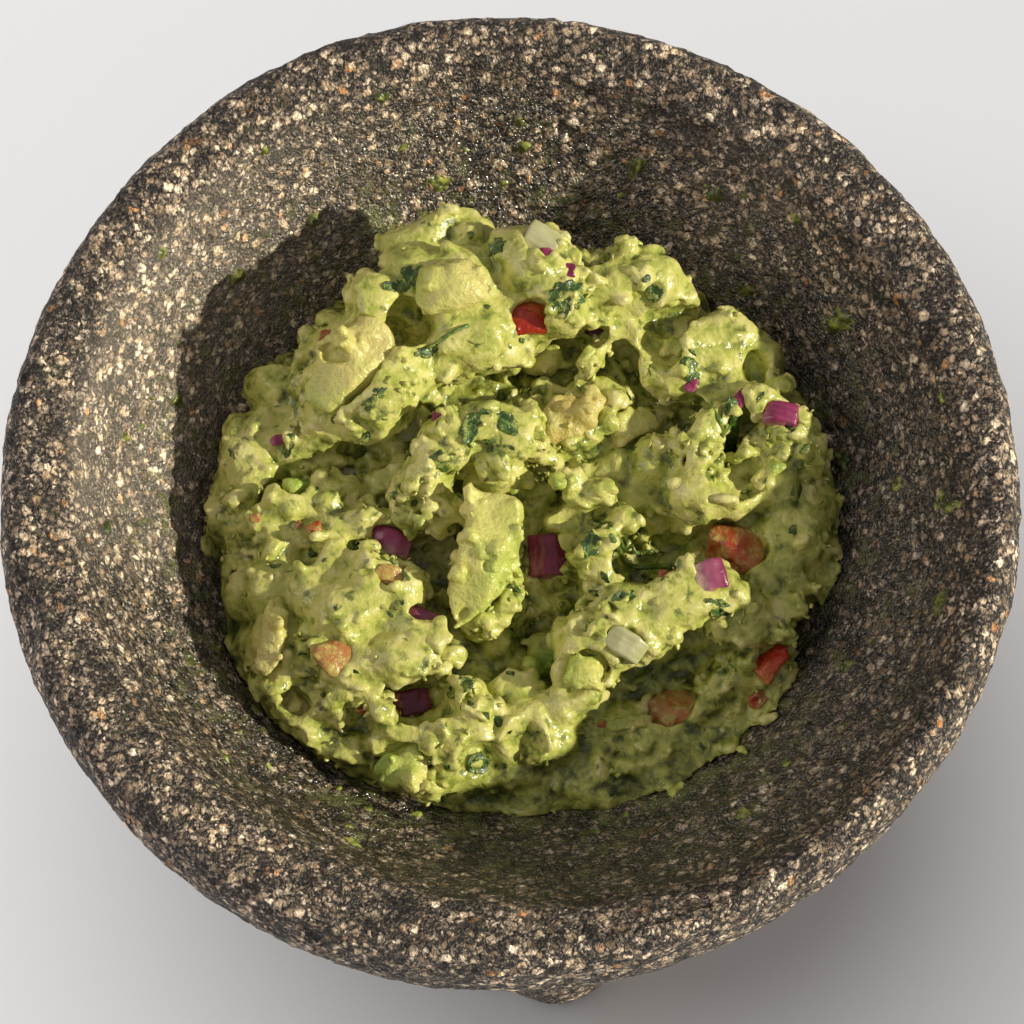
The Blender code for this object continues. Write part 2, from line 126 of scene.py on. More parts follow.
def finished(name, mesh, *modifiers):
    """The mesh that modifiers make; each is given as its kind and its settings."""
    shape = bpy.data.objects.new(name, mesh)
    bpy.context.scene.collection.objects.link(shape)
    for kind, settings in modifiers:
        modifier = shape.modifiers.new(kind.lower(), kind)
        for setting, value in settings.items():
            if hasattr(modifier, setting):
                setattr(modifier, setting, value)
            else:
                modifier[setting] = value
    result = bpy.data.meshes.new_from_object(
        shape.evaluated_get(bpy.context.evaluated_depsgraph_get()))
    bpy.data.objects.remove(shape)
    return result


def blended(low, high, value):
    """0 below low, 1 above high, smooth between."""
    part = np.clip((value - low) / (high - low), 0.0, 1.0)
    return part * part * (3.0 - 2.0 * part)


# ---- noise -------------------------------------------------------------------------
DIRECTIONS = np.array([(x, y, 0) for x, y in product((1, -1), repeat=2)]
                      + [(x, 0, z) for x, z in product((1, -1), repeat=2)]
                      + [(0, y, z) for y, z in product((1, -1), repeat=2)]
                      + [(1, 1, 0), (-1, 1, 0), (0, -1, 1), (0, -1, -1)], np.float32)


def scrambled(cells, seed):
    """A whole number without a pattern for each cell of a grid."""
    x, y, z = (cells[:, axis].astype(np.uint32) for axis in range(3))
    mix = (x * np.uint32(0x9E3779B1)) ^ (y * np.uint32(0x85EBCA77)) ^ (z * np.uint32(0xC2B2AE3D))
    mix = mix ^ np.uint32((seed * 0x27D4EB2F) & 0xFFFFFFFF)
    mix = (mix ^ (mix >> np.uint32(15))) * np.uint32(0x2C1B3C6D)
    mix = (mix ^ (mix >> np.uint32(12))) * np.uint32(0x297A2D39)
    return mix ^ (mix >> np.uint32(15))


def bumps(points, width, seed):
    """Smooth noise, about -1 to 1, whose bumps are this wide in mm."""
    place = np.asarray(points, np.float32) / width
    cell = np.floor(place).astype(np.int64)
    part = place - cell
    ease = part ** 3 * (part * (part * 6.0 - 15.0) + 10.0)
    total = np.zeros(len(place), np.float32)
    for corner in product((0, 1), repeat=3):
        slope = DIRECTIONS[scrambled(cell + np.array(corner), seed) % 16]
        share = np.prod(np.where(corner, ease, 1.0 - ease), axis=1)
        total += share * ((part - np.array(corner, np.float32)) * slope).sum(axis=1)
    return 1.5 * total


# ---- clay: a form as distances on a grid ---------------------------------------------
class Clay:
    """A grid that holds how far each point is outside a form, mm, its tone and how torn it is.

    Lumps are pressed on and hollows cut out, and the skin is drawn off at the end.
    """

    def __init__(self, low, high, spacing):
        self.low = np.array(low, np.float32)
        self.spacing = spacing
        self.size = tuple(int(round((top - bottom) / spacing)) + 1
                          for bottom, top in zip(low, high))
        self.axes = [self.low[axis] + spacing * np.arange(self.size[axis], dtype=np.float32)
                     for axis in range(3)]
        self.outside = np.full(self.size, 20.0, np.float32)
        self.tone = np.zeros(self.size, np.float32)
        self.ragged = np.zeros(self.size, np.float32)
        self.place = self.unbent()

    def unbent(self):
        """The true x, y and z of the grid's points."""
        return list(np.meshgrid(*self.axes, indexing="ij", sparse=True))

    def smooth_noise(self, width, seed):
        """A volume of soft noise, about -1 to 1, whose bumps are this wide."""
        chance = np.random.default_rng(seed)
        pitch = width / 1.8
        weights = []
        for axis in range(3):
            count = int(self.size[axis] * self.spacing / pitch) + 5
            where = (self.axes[axis] - self.low[axis]) / pitch + 1.5
            gap = np.abs(where[:, None] - np.arange(count)[None, :])
            near = 2.0 / 3.0 - gap ** 2 + 0.5 * gap ** 3
            far = np.clip(2.0 - gap, 0.0, None) ** 3 / 6.0
            weights.append(np.where(gap < 1.0, near, far).astype(np.float32))
        volume = chance.standard_normal([w.shape[1] for w in weights]).astype(np.float32)
        volume = np.tensordot(weights[0], volume, axes=(1, 0))
        volume = np.tensordot(weights[1], volume, axes=(1, 1)).transpose(1, 0, 2)
        volume = np.tensordot(volume, weights[2], axes=(2, 1))
        return volume / (2.5 * volume.std())

    def warp(self, noises):
        """Bends the space in which later lumps are pressed on."""
        self.place = [place + noise for place, noise in zip(self.place, noises)]

    def window(self, middle, reach):
        """The part of the grid around a point, as slices."""
        middle = np.array(middle, np.float32)
        start = np.floor((middle - reach - self.low) / self.spacing).astype(int)
        stop = np.ceil((middle + reach - self.low) / self.spacing).astype(int) + 1
        return tuple(slice(max(a, 0), max(min(b, count), 0))
                     for a, b, count in zip(start, stop, self.size))

    def from_egg(self, part, middle, halves, turn, squareness=2.0):
        """How far each point of a window is outside an egg, or a rounded block.

        turn is a 3 x 3 rotation; a squareness of 2 is an egg, and more is blockier.
        """
        offset = [np.broadcast_to(place, self.size)[part] - centre
                  for place, centre in zip(self.place, middle)]
        near = steep = 0.0
        for axis in range(3):
            along = np.abs(sum(turn[row][axis] * offset[row] for row in range(3))) / halves[axis]
            power = along if squareness == 2.0 else along ** (squareness - 1.0)
            near = near + power * along
            steep = steep + (power / halves[axis]) ** 2
        reach = np.sqrt(near) if squareness == 2.0 else near ** (1.0 / squareness)
        return (reach - 1.0) * reach ** (squareness - 1.0) / np.sqrt(steep + 1e-9)

    def cut_room(self, middle, halves, turn, blend):
        """Cuts an egg's room, in unbent space, so that a piece of true shape fits it."""
        bent, self.place = self.place, self.unbent()
        self.egg(middle, halves, turn, blend, cut=True)
        self.place = bent

    def egg(self, middle, halves, turn, blend=2.0, tone=0.0, cut=False, squareness=2.0,
            part=None):
        """Joins a lump to the form with a soft crease, or cuts its room out.

        Where a lump is the nearer one, it gives the tone.
        """
        part = part or self.window(middle, max(halves) + 4.0)
        if min(self.outside[part].shape) == 0:
            return
        outside = self.from_egg(part, middle, halves, turn, squareness)
        old = self.outside[part]
        if cut:
            share = np.clip(0.5 - 0.5 * (old + outside) / blend, 0.0, 1.0)
            self.outside[part] = old + (-outside - old) * share + blend * share * (1.0 - share)
        else:
            share = np.clip(0.5 + 0.5 * (old - outside) / blend, 0.0, 1.0)
            self.outside[part] = old + (outside - old) * share - blend * share * (1.0 - share)
            self.tone[part] += (tone - self.tone[part]) * share

    def outward(self, cell):
        """The way out of the form at a grid cell."""
        cell = np.clip(cell, 1, np.array(self.size) - 2)
        slope = np.array([self.outside[tuple(cell + step)] - self.outside[tuple(cell - step)]
                          for step in np.eye(3, dtype=int)])
        return slope / (np.linalg.norm(slope) + 1e-6)

    def bit(self, cell, halves, lift, turn, blend, **kind):
        """Presses a bit on, or cuts a dent, where the skin is; lift is how far out it sits."""
        point = self.low + cell * self.spacing
        out = lift * self.outward(cell)
        middle = [float(np.broadcast_to(place, self.size)[tuple(cell)]) + out[axis]
                  for axis, place in enumerate(self.place)]
        self.egg(middle, halves, turn, blend, **kind,
                 part=self.window(point + out, max(halves) + blend + 0.6))

    def skin_cells(self, chance, count, depth):
        """Cells picked by chance on the form's skin."""
        near = np.argwhere(np.abs(self.outside) < depth)
        return near[chance.choice(len(near), count, replace=False)]

    def top_of(self, x, y):
        """Height of the highest skin over each point."""
        column = np.clip(np.round((np.asarray(x) - self.low[0]) / self.spacing).astype(int),
                         0, self.size[0] - 1)
        row = np.clip(np.round((np.asarray(y) - self.low[1]) / self.spacing).astype(int),
                      0, self.size[1] - 1)
        full = self.outside[column, row] < 0.0
        level = self.size[2] - 1 - np.argmax(full[..., ::-1], axis=-1)
        below = self.outside[column, row, level]
        above = self.outside[column, row, np.minimum(level + 1, self.size[2] - 1)]
        return self.axes[2][level] + self.spacing * below / (below - above - 1e-6)

    def sample(self, volume, points):
        """A volume's value at each point, read between its voxels."""
        place = np.clip((points - self.low) / self.spacing, 0.0,
                        np.array(self.size, np.float32) - 1.001)
        cell = place.astype(int)
        part = place - cell
        total = np.zeros(len(points), np.float32)
        for corner in product((0, 1), repeat=3):
            share = np.prod(np.where(corner, part, 1.0 - part), axis=1)
            total += share * volume[tuple((cell + corner).T)]
        return total

    def skin(self, flatness):
        """The form's surface: points in mm, and triangles that face out."""
        grid = openvdb.FloatGrid(background=20.0)
        grid.copyFromArray(self.outside)
        points, triangles, quads = grid.convertToPolygons(0.0, flatness)
        quads = quads.astype(np.int64)
        faces = np.concatenate([triangles.astype(np.int64),
                                quads[:, (0, 1, 2)], quads[:, (0, 2, 3)]])
        return self.low + points * self.spacing, faces


def spread(volume, reach):
    """A volume averaged over a box of this many voxels each way."""
    for axis in range(3):
        padded = np.concatenate([np.repeat(volume.take([0], axis), reach + 1, axis), volume,
                                 np.repeat(volume.take([-1], axis), reach, axis)], axis)
        total = np.cumsum(padded, axis=axis, dtype=np.float32)
        width = 2 * reach + 1
        head = [slice(None)] * 3
        tail = [slice(None)] * 3
        head[axis] = slice(width, None)
        tail[axis] = slice(None, -width)
        volume = (total[tuple(head)] - total[tuple(tail)]) / width
    return volume


def turned(turn, tilt_right=0.0, tilt_front=0.0):
    """A rotation from degrees: turned about the vertical, then tilted."""
    rotation = (Matrix.Rotation(radians(tilt_front), 3, "X")
                @ Matrix.Rotation(radians(tilt_right), 3, "Y")
                @ Matrix.Rotation(radians(turn), 3, "Z"))
    return [list(row) for row in rotation]


def any_turn(chance):
    axis = Vector(chance.normal(size=3)).normalized()
    return [list(row) for row in Matrix.Rotation(chance.uniform(0.0, 2.0 * pi), 3, axis)]


# ---- materials -----------------------------------------------------------------------
def add_node(tree, kind, settings=None, inputs=None, stops=()):
    """Adds a node. An input is a value, a hex colour, or a socket or node to link from.

    stops fill a colour ramp: pairs of a place and a hex colour or a number.
    """
    node = tree.nodes.new(kind)
    for name, value in (settings or {}).items():
        setattr(node, name, value)
    for name, value in (inputs or {}).items():
        if isinstance(value, bpy.types.Node):
            value = next(socket for socket in value.outputs if socket.enabled)
        if isinstance(value, bpy.types.NodeSocket):
            tree.links.new(value, node.inputs[name])
        elif isinstance(value, str) and value.startswith("#"):
            node.inputs[name].default_value = linear(value)
        else:
            node.inputs[name].default_value = value
    for number, (place, colour) in enumerate(stops):
        elements = node.color_ramp.elements
        element = elements[number] if number < 2 else elements.new(place)
        element.position = place
        element.color = linear(colour) if isinstance(colour, str) else (colour,) * 3 + (1.0,)
    return node


# Kinds of node that come up often, with their settings, for add_node.
NOISE = ("ShaderNodeTexNoise", {})
CELLS = ("ShaderNodeTexVoronoi", {})
RANGE = ("ShaderNodeMapRange", {})
RAMP = ("ShaderNodeValToRGB", {})
CHANNELS = ("ShaderNodeSeparateColor", {})
MIX = ("ShaderNodeMix", {"data_type": "RGBA"})
PLUS = ("ShaderNodeMath", {"operation": "ADD"})
MINUS = ("ShaderNodeMath", {"operation": "SUBTRACT"})
TIMES = ("ShaderNodeMath", {"operation": "MULTIPLY"})
TIMES_PLUS = ("ShaderNodeMath", {"operation": "MULTIPLY_ADD"})
PLACE_PLUS = ("ShaderNodeVectorMath", {"operation": "MULTIPLY_ADD"})


def new_material(name):
    """A material with only its shader and output, and the object's place in mm."""
    material = bpy.data.materials.new(name)
    material.use_nodes = True
    tree = material.node_tree
    coordinates = add_node(tree, "ShaderNodeTexCoord")
    place = add_node(tree, "ShaderNodeMapping", inputs={
        "Vector": coordinates.outputs["Object"], "Scale": (1.0 / MM,) * 3})
    return material, tree, tree.nodes["Principled BSDF"], place


def finish(tree, shader, colour, roughness, *relief):
    """Links a colour, a roughness and layers of relief, each a height and its depth in mm."""
    tree.links.new(colour, shader.inputs["Base Color"])
    if isinstance(roughness, bpy.types.NodeSocket):
        tree.links.new(roughness, shader.inputs["Roughness"])
    else:
        shader.inputs["Roughness"].default_value = roughness
    total = 0.0
    for height, depth in relief:
        total = add_node(tree, *TIMES_PLUS, {0: height, 1: depth, 2: total})
    if relief:
        bump = add_node(tree, "ShaderNodeBump", inputs={
            "Height": total, "Strength": 1.0, "Distance": MM})
        tree.links.new(bump.outputs[0], shader.inputs["Normal"])
        if not shader.inputs["Coat Normal"].is_linked:
            tree.links.new(bump.outputs[0], shader.inputs["Coat Normal"])


def wet_flesh(shader, film, share=0.0, bleed=(1.0, 1.0, 1.0), depth_mm=2.0):
    """Sets a shader for wet flesh: a film of juice shines, and light may bleed a way in."""
    shader.inputs["Subsurface Radius"].default_value = bleed
    shader.inputs["Subsurface Weight"].default_value = share
    shader.inputs["Subsurface Scale"].default_value = depth_mm * MM
    shader.inputs["IOR"].default_value = 1.4
    shader.inputs["Coat Weight"].default_value = film
    shader.inputs["Coat Roughness"].default_value = 0.18
    shader.inputs["Coat IOR"].default_value = 1.38


def vesicular_basalt():
    """Basalt, pecked to shape: charcoal ground, pale feldspar grains, a few rusty ones.

    The grains give the pepper-and-salt look. Oil on the hollow's wall makes its broken faces
    glint in low light, and food has stained it green in patches. The wall's colour also carries
    painted light and shade: lighter where it faces the lights, darker in the key light's shade.
    """
    material, tree, shader, place = new_material("vesicular basalt, pecked")
    # Feldspar grains up to 2 mm, bent out of round, and smaller pale chips between them.
    sway = add_node(tree, *NOISE, {
        "Vector": place, "Scale": 1.0 / 1.7, "Detail": 1.0, "Roughness": 0.6})
    bent = add_node(tree, *PLACE_PLUS, {0: sway.outputs["Color"], 1: (1.9, 1.9, 1.9), 2: place})
    grain = add_node(tree, *CELLS, {"Vector": bent, "Scale": 1.0 / 1.8})
    grain_kind = add_node(tree, *CHANNELS, {"Color": grain.outputs["Color"]})
    grain_size = add_node(tree, *RANGE, {
        "Value": grain_kind.outputs[0], "From Min": 0.12, "To Min": 0.08, "To Max": 0.62})
    in_grain = add_node(tree, *MINUS, {0: grain_size, 1: grain.outputs["Distance"]})
    in_grain = add_node(tree, *RANGE, {"Value": in_grain, "From Min": -0.12, "From Max": 0.2})
    chip = add_node(tree, *CELLS, {"Vector": bent, "Scale": 1.0 / 0.85})
    chip_kind = add_node(tree, *CHANNELS, {"Color": chip.outputs["Color"]})
    in_chip = add_node(tree, *TIMES_PLUS, {0: chip_kind.outputs[0], 1: 0.9, 2: -0.22})
    in_chip = add_node(tree, *MINUS, {0: in_chip, 1: chip.outputs["Distance"]})
    in_chip = add_node(tree, *RANGE, {
        "Value": in_chip, "From Min": -0.08, "From Max": 0.1, "To Max": 0.85})
    # The charcoal ground and its fine speckle.
    speckle = add_node(tree, *NOISE, {
        "Vector": place, "Scale": 1.0 / 0.7, "Detail": 2.0, "Roughness": 0.65})
    ground = add_node(tree, *RAMP, {"Fac": speckle}, stops=(
        (0.3, "#14110e"), (0.75, "#7c6e60"), (0.47, "#29241f"), (0.58, "#463e36")))
    chip_colour = add_node(tree, *RAMP, {
        "Fac": chip_kind.outputs[1]}, stops=(
        (0.0, "#5d5246"), (1.0, "#c9b9a2"), (0.5, "#8d7d6a")))
    grain_colour = add_node(tree, *RAMP, {
        "Fac": grain_kind.outputs[1]}, stops=(
        (0.0, "#6f5c48"), (1.0, "#a8743f"), (0.3, "#a08a6f"), (0.6, "#c7b092"),
        (0.88, "#e2d0b6"), (0.95, "#c49a70")))
    colour = add_node(tree, *MIX, {0: in_chip, 6: ground, 7: chip_colour})
    colour = add_node(tree, *MIX, {0: in_grain, 6: colour, 7: grain_colour})
    # Light and dark: by the speckle, by clusters 4 mm wide, and by pale, which is painted light
    # and shade: lighter on the wall that faces the lights, darker in the key light's shade.
    shade = add_node(tree, *RANGE, {
        "Value": speckle, "From Min": 0.3, "From Max": 0.7, "To Min": 0.34, "To Max": 1.9})
    oil, pale, stain = (
        add_node(tree, "ShaderNodeAttribute", {"attribute_name": name}).outputs["Fac"]
        for name in ("oil", "pale", "stain"))
    shade = add_node(tree, *TIMES, {0: shade, 1: pale})
    cluster = add_node(tree, *NOISE, {
        "Vector": place, "Scale": 1.0 / 4.4, "Detail": 2.0, "Roughness": 0.6})
    cluster_shade = add_node(tree, *RANGE, {
        "Value": cluster, "From Min": 0.35, "From Max": 0.65, "To Min": 0.4, "To Max": 1.7})
    shade = add_node(tree, *TIMES, {0: shade, 1: cluster_shade})
    colour = add_node(tree, "ShaderNodeVectorMath", {"operation": "SCALE"}, {
        0: colour, "Scale": shade})
    # Painted light: where pale is over 1, on the wall that faces the lights, the colour is lifted
    # towards a pale grey-beige.
    painted_light_lift = add_node(tree, *RANGE, {
        "Value": pale, "From Min": 1.0, "From Max": 1.5, "To Max": 0.24})
    colour = add_node(tree, *MIX, {
        0: painted_light_lift, 6: colour, 7: "#b5aa9b"}).outputs[2]
    # Green, rubbed in and smeared on in patches.
    patch = add_node(tree, *NOISE, {
        "Vector": place, "Scale": 1.0 / 5.5, "Detail": 4.0, "Roughness": 0.7})
    patch = add_node(tree, *RANGE, {
        "Value": patch, "From Min": 0.35, "From Max": 0.65, "To Min": -0.95, "To Max": 0.35})
    stain = add_node(tree, *PLUS, {0: stain, 1: patch})
    rubbed = add_node(tree, *RANGE, {
        "Value": stain, "From Min": 0.1, "From Max": 0.9, "To Max": 0.38})
    colour = add_node(tree, *MIX, {0: rubbed, 6: colour, 7: "#3d3d24"})
    smeared = add_node(tree, *RANGE, {
        "Value": stain, "From Min": 0.45, "From Max": 0.95, "To Max": 0.7})
    colour = add_node(tree, *MIX, {0: smeared, 6: colour, 7: "#777c48"})
    # Broken faces about 0.5 mm wide, each with its own gloss, under a film of oil.
    facet = add_node(tree, *CELLS, {"Vector": bent, "Scale": 1.0 / 0.55})
    facet_kind = add_node(tree, *CHANNELS, {"Color": facet.outputs["Color"]})
    dry = add_node(tree, *RANGE, {"Value": oil, "To Min": 0.85, "To Max": 0.38})
    gloss = add_node(tree, *TIMES_PLUS, {0: facet_kind.outputs[0], 1: -0.3, 2: dry})
    shader.inputs["IOR"].default_value = 1.55
    film = add_node(tree, *TIMES, {0: oil, 1: 0.9})
    tree.links.new(film.outputs[0], shader.inputs["Coat Weight"])
    shader.inputs["Coat Roughness"].default_value = 0.12
    shader.inputs["Coat IOR"].default_value = 1.5
    relief = add_node(tree, *NOISE, {
        "Vector": place, "Scale": 1.0 / 2.6, "Detail": 3.0, "Roughness": 0.72})
    finish(tree, shader, colour.outputs[2], gloss.outputs[0],
           (relief, 1.25), (in_grain, 0.3), (facet.outputs["Distance"], -0.42))
    return material


def crushed_avocado():
    """Ripe avocado crushed with lime: wet and soft, cream yellow where it is freshly torn,
    darker olive green in its creases as painted shade, with smudges and flecks of chopped herb."""
    material, tree, shader, place = new_material("crushed avocado")
    tone, fold = (
        add_node(tree, "ShaderNodeAttribute", {"attribute_name": name}).outputs["Fac"]
        for name in ("tone", "fold"))
    cloud = add_node(tree, *NOISE, {
        "Vector": place, "Scale": 1.0 / 7.0, "Detail": 3.0, "Roughness": 0.6})
    blot = add_node(tree, *NOISE, {
        "Vector": place, "Scale": 1.0 / 2.6, "Detail": 2.0, "Roughness": 0.5,
        "Distortion": 0.4})
    pulp = add_node(tree, *NOISE, {
        "Vector": place, "Scale": 1.0 / 1.1, "Detail": 2.0, "Roughness": 0.5})
    value = tone
    # fold darkens the flesh towards olive in creases and hollows: painted shade.
    for part, weight in ((cloud, 3.6), (blot, 4.4), (pulp, 0.8), (fold, -2.0)):
        value = add_node(tree, *TIMES_PLUS, {0: part, 1: weight, 2: value})
    # On flat skin, with each noise at its middle, this comes to 3.4.
    value = add_node(tree, *RANGE, {"Value": value, "From Min": 1.6, "From Max": 4.8})
    colour = add_node(tree, *RAMP, {"Fac": value}, stops=(
        (0.0, "#4a4e22"), (1.0, "#d6d085"), (0.2, "#82883c"), (0.38, "#a3aa4e"),
        (0.55, "#bbbe60"), (0.75, "#cbc870")))
    herb = add_node(tree, *NOISE, {
        "Vector": place, "Scale": 1.0 / 2.3, "Detail": 2.0, "Roughness": 0.55,
        "Distortion": 0.5})
    bunch = add_node(tree, *NOISE, {"Vector": place, "Scale": 1.0 / 9.0, "Detail": 2.0})
    for part, weight in ((bunch, 0.7), (fold, 0.3)):
        herb = add_node(tree, *TIMES_PLUS, {0: part, 1: weight, 2: herb})
    herb = add_node(tree, *RANGE, {
        "Value": herb, "From Min": 1.1, "From Max": 1.24, "To Max": 0.8})
    # Flecks of finely chopped herb, 0.4 to 1.2 mm.
    sway = add_node(tree, *PLACE_PLUS, {0: pulp.outputs["Color"], 1: (1.6, 1.6, 1.6), 2: place})
    fleck = add_node(tree, *CELLS, {"Vector": sway, "Scale": 1.0 / 1.7})
    fleck_kind = add_node(tree, *CHANNELS, {"Color": fleck.outputs["Color"]})
    fleck = add_node(tree, *TIMES_PLUS, {
        0: fleck.outputs["Distance"], 1: -0.16, 2: fleck_kind.outputs[0]})
    fleck = add_node(tree, *RANGE, {
        "Value": fleck, "From Min": 0.89, "From Max": 0.94, "To Max": 0.6})
    herb = add_node(tree, "ShaderNodeMath", {"operation": "MAXIMUM"}, {0: herb, 1: fleck})
    herb_colour = add_node(tree, *RAMP, {"Fac": pulp}, stops=(
        (0.35, "#35491f"), (0.7, "#5c7030")))
    colour = add_node(tree, *MIX, {0: herb, 6: colour, 7: herb_colour})
    gloss = add_node(tree, *RANGE, {
        "Value": blot, "From Min": 0.3, "From Max": 0.7, "To Min": 0.22, "To Max": 0.45})
    wet_flesh(shader, 0.55)
    finish(tree, shader, colour.outputs[2], gloss.outputs[0], (blot, 0.6), (pulp, 0.2))
    return material


def cut_avocado():
    """Ripe avocado, cut or torn: butter yellow inside, fresh green towards the skin side,
    with crushed flesh clinging to it."""
    material, tree, shader, place = new_material("cut ripe avocado")
    side, warm = (
        add_node(tree, "ShaderNodeAttribute", {"attribute_name": name}).outputs["Fac"]
        for name in ("skin_side", "kind"))
    cloud = add_node(tree, *NOISE, {
        "Vector": place, "Scale": 1.0 / 5.0, "Detail": 4.0, "Roughness": 0.6})
    pulp = add_node(tree, *NOISE, {
        "Vector": place, "Scale": 1.0 / 1.0, "Detail": 3.0, "Roughness": 0.6})
    value = side
    for part, weight in ((cloud, 2.2), (warm, -0.9)):
        value = add_node(tree, *TIMES_PLUS, {0: part, 1: weight, 2: value})
    value = add_node(tree, *RANGE, {"Value": value, "From Min": 0.2, "From Max": 2.9})
    colour = add_node(tree, *RAMP, {"Fac": value}, stops=(
        (0.0, "#e0d488"), (1.0, "#86a63c"), (0.45, "#cfcd70"), (0.7, "#b8c55d"),
        (0.86, "#a0b64c")))
    tan = add_node(tree, *RAMP, {"Fac": cloud}, stops=(
        (0.35, "#b79f55"), (0.7, "#ddd488"), (0.5, "#cdbb6c")))
    colour = add_node(tree, *MIX, {0: warm, 6: colour, 7: tan})
    cling = add_node(tree, *RANGE, {
        "Value": pulp, "From Min": 0.52, "From Max": 0.66, "To Max": 0.5})
    colour = add_node(tree, *MIX, {0: cling, 6: colour, 7: "#b4bb62"})
    gloss = add_node(tree, *RANGE, {
        "Value": cloud, "From Min": 0.3, "From Max": 0.7, "To Min": 0.2, "To Max": 0.42})
    wet_flesh(shader, 0.55, 0.2, (1.0, 0.85, 0.4), 2.4)
    finish(tree, shader, colour.outputs[2], gloss.outputs[0], (cloud, 0.8), (pulp, 0.4))
    return material


def ripe_tomato():
    """Ripe tomato dice in crushed avocado: red skin side, wet orange flesh, smeared over."""
    material, tree, shader, place = new_material("ripe tomato dice")
    side, smear = (
        add_node(tree, "ShaderNodeAttribute", {"attribute_name": name}).outputs["Fac"]
        for name in ("skin_side", "kind"))
    cloud = add_node(tree, *NOISE, {
        "Vector": place, "Scale": 1.0 / 2.6, "Detail": 4.0, "Roughness": 0.6})
    pulp = add_node(tree, *NOISE, {"Vector": place, "Scale": 1.0 / 1.0, "Detail": 3.0})
    value = add_node(tree, *TIMES_PLUS, {0: cloud, 1: 1.8, 2: side})
    value = add_node(tree, *RANGE, {"Value": value, "From Min": 0.0, "From Max": 1.9})
    colour = add_node(tree, *RAMP, {"Fac": value}, stops=(
        (0.0, "#c4824a"), (1.0, "#90160c"), (0.3, "#ba5a2b"), (0.6, "#ad3216")))
    covered = add_node(tree, *PLUS, {0: cloud, 1: smear})
    covered = add_node(tree, *RANGE, {
        "Value": covered, "From Min": 0.72, "From Max": 1.0, "To Max": 0.9})
    over = add_node(tree, *RAMP, {"Fac": pulp}, stops=(
        (0.35, "#b3854f"), (0.65, "#c3bb66")))
    colour = add_node(tree, *MIX, {0: covered, 6: colour, 7: over})
    wet_flesh(shader, 0.6, 0.25, (1.0, 0.3, 0.12), 2.0)
    finish(tree, shader, colour.outputs[2], 0.28, (cloud, 0.6), (pulp, 0.3))
    return material


def onion_layer(name, stops):
    """A layer of raw onion, diced: see-through flesh, with fine veins along it."""
    material, tree, shader, place = new_material(name)
    side, pale, across = (
        add_node(tree, "ShaderNodeAttribute", {"attribute_name": name}).outputs["Fac"]
        for name in ("skin_side", "kind", "across"))
    cloud = add_node(tree, *NOISE, {"Vector": place, "Scale": 1.0 / 3.0, "Detail": 3.0})
    vein = add_node(tree, *TIMES_PLUS, {0: cloud, 1: 9.0, 2: across})
    vein = add_node(tree, "ShaderNodeMath", {"operation": "SINE"}, {0: vein})
    value = side
    for part, weight in ((vein, 0.09), (cloud, 1.4)):
        value = add_node(tree, *TIMES_PLUS, {0: part, 1: weight, 2: value})
    value = add_node(tree, *MINUS, {0: value, 1: pale})
    value = add_node(tree, *RANGE, {"Value": value, "From Min": -0.6, "From Max": 2.0})
    colour = add_node(tree, *RAMP, {"Fac": value}, stops=stops)
    wet_flesh(shader, 0.5, 0.3, (1.0, 0.75, 0.7), 1.6)
    finish(tree, shader, colour.outputs["Color"], 0.27, (vein, 0.02), (cloud, 0.3))
    return material


def red_onion_layer():
    """Magenta outside, paler towards the cut and the inner side."""
    return onion_layer("red onion layer", (
        (0.0, "#bdb07e"), (1.0, "#641b3b"), (0.2, "#bd938c"), (0.42, "#a85f78"),
        (0.68, "#8c3158")))


def white_onion_layer():
    """Nearly clear, taking up the green of what is round it."""
    return onion_layer("white onion layer", (
        (0.0, "#a0a45c"), (1.0, "#c3be98"), (0.6, "#b3b678")))


def cilantro():
    """Fresh cilantro leaf and stem, wet: dark blue-green, lighter along its ribs."""
    material, tree, shader, place = new_material("chopped cilantro")
    cloud = add_node(tree, *NOISE, {
        "Vector": place, "Scale": 1.0 / 1.6, "Detail": 3.0, "Roughness": 0.6})
    rib = add_node(tree, "ShaderNodeAttribute", {"attribute_name": "kind"}).outputs["Fac"]
    value = add_node(tree, *TIMES_PLUS, {0: rib, 1: 0.3, 2: cloud})
    colour = add_node(tree, *RAMP, {"Fac": value}, stops=(
        (0.3, "#22360f"), (1.0, "#86a048"), (0.5, "#36531e"), (0.7, "#51702a")))
    smudge = add_node(tree, *NOISE, {
        "Vector": place, "Scale": 1.0 / 2.0, "Detail": 3.0, "Roughness": 0.6})
    smudge = add_node(tree, *RANGE, {
        "Value": smudge, "From Min": 0.5, "From Max": 0.62, "To Max": 0.85})
    colour = add_node(tree, *MIX, {0: smudge, 6: colour, 7: "#9aa44a"})
    shader.inputs["Coat Weight"].default_value = 0.3
    shader.inputs["Coat Roughness"].default_value = 0.15
    finish(tree, shader, colour.outputs[2], 0.38, (cloud, 0.3), (smudge, 0.3))
    return material


# ---- the stone mortar ------------------------------------------------------------------
def wave(bearing, *terms):
    """Sum of cosines round the bowl; each term is (amplitude, times round, degrees)."""
    return sum(size * np.cos(times * bearing + radians(shift)) for size, times, shift in terms)


def outline_wander(bearing):
    return wave(bearing, (0.5, 3, 40.0), (0.3, 5, 160.0))


def lip_wander(bearing):
    return wave(bearing, (2.0, 1, 20.0), (2.0, 2, 90.0), (1.3, 3, 105.0))


def wall_z(radius):
    """Height of the hollow's wall: a cubic bowl, nearly flat in the middle."""
    return HOLLOW_FLOOR_Z + (WALL_TOP_Z - HOLLOW_FLOOR_Z) * (radius / WALL_TOP_RADIUS) ** 3


def wall_slope(radius):
    return 3.0 * (WALL_TOP_Z - HOLLOW_FLOOR_Z) * radius ** 2 / WALL_TOP_RADIUS ** 3


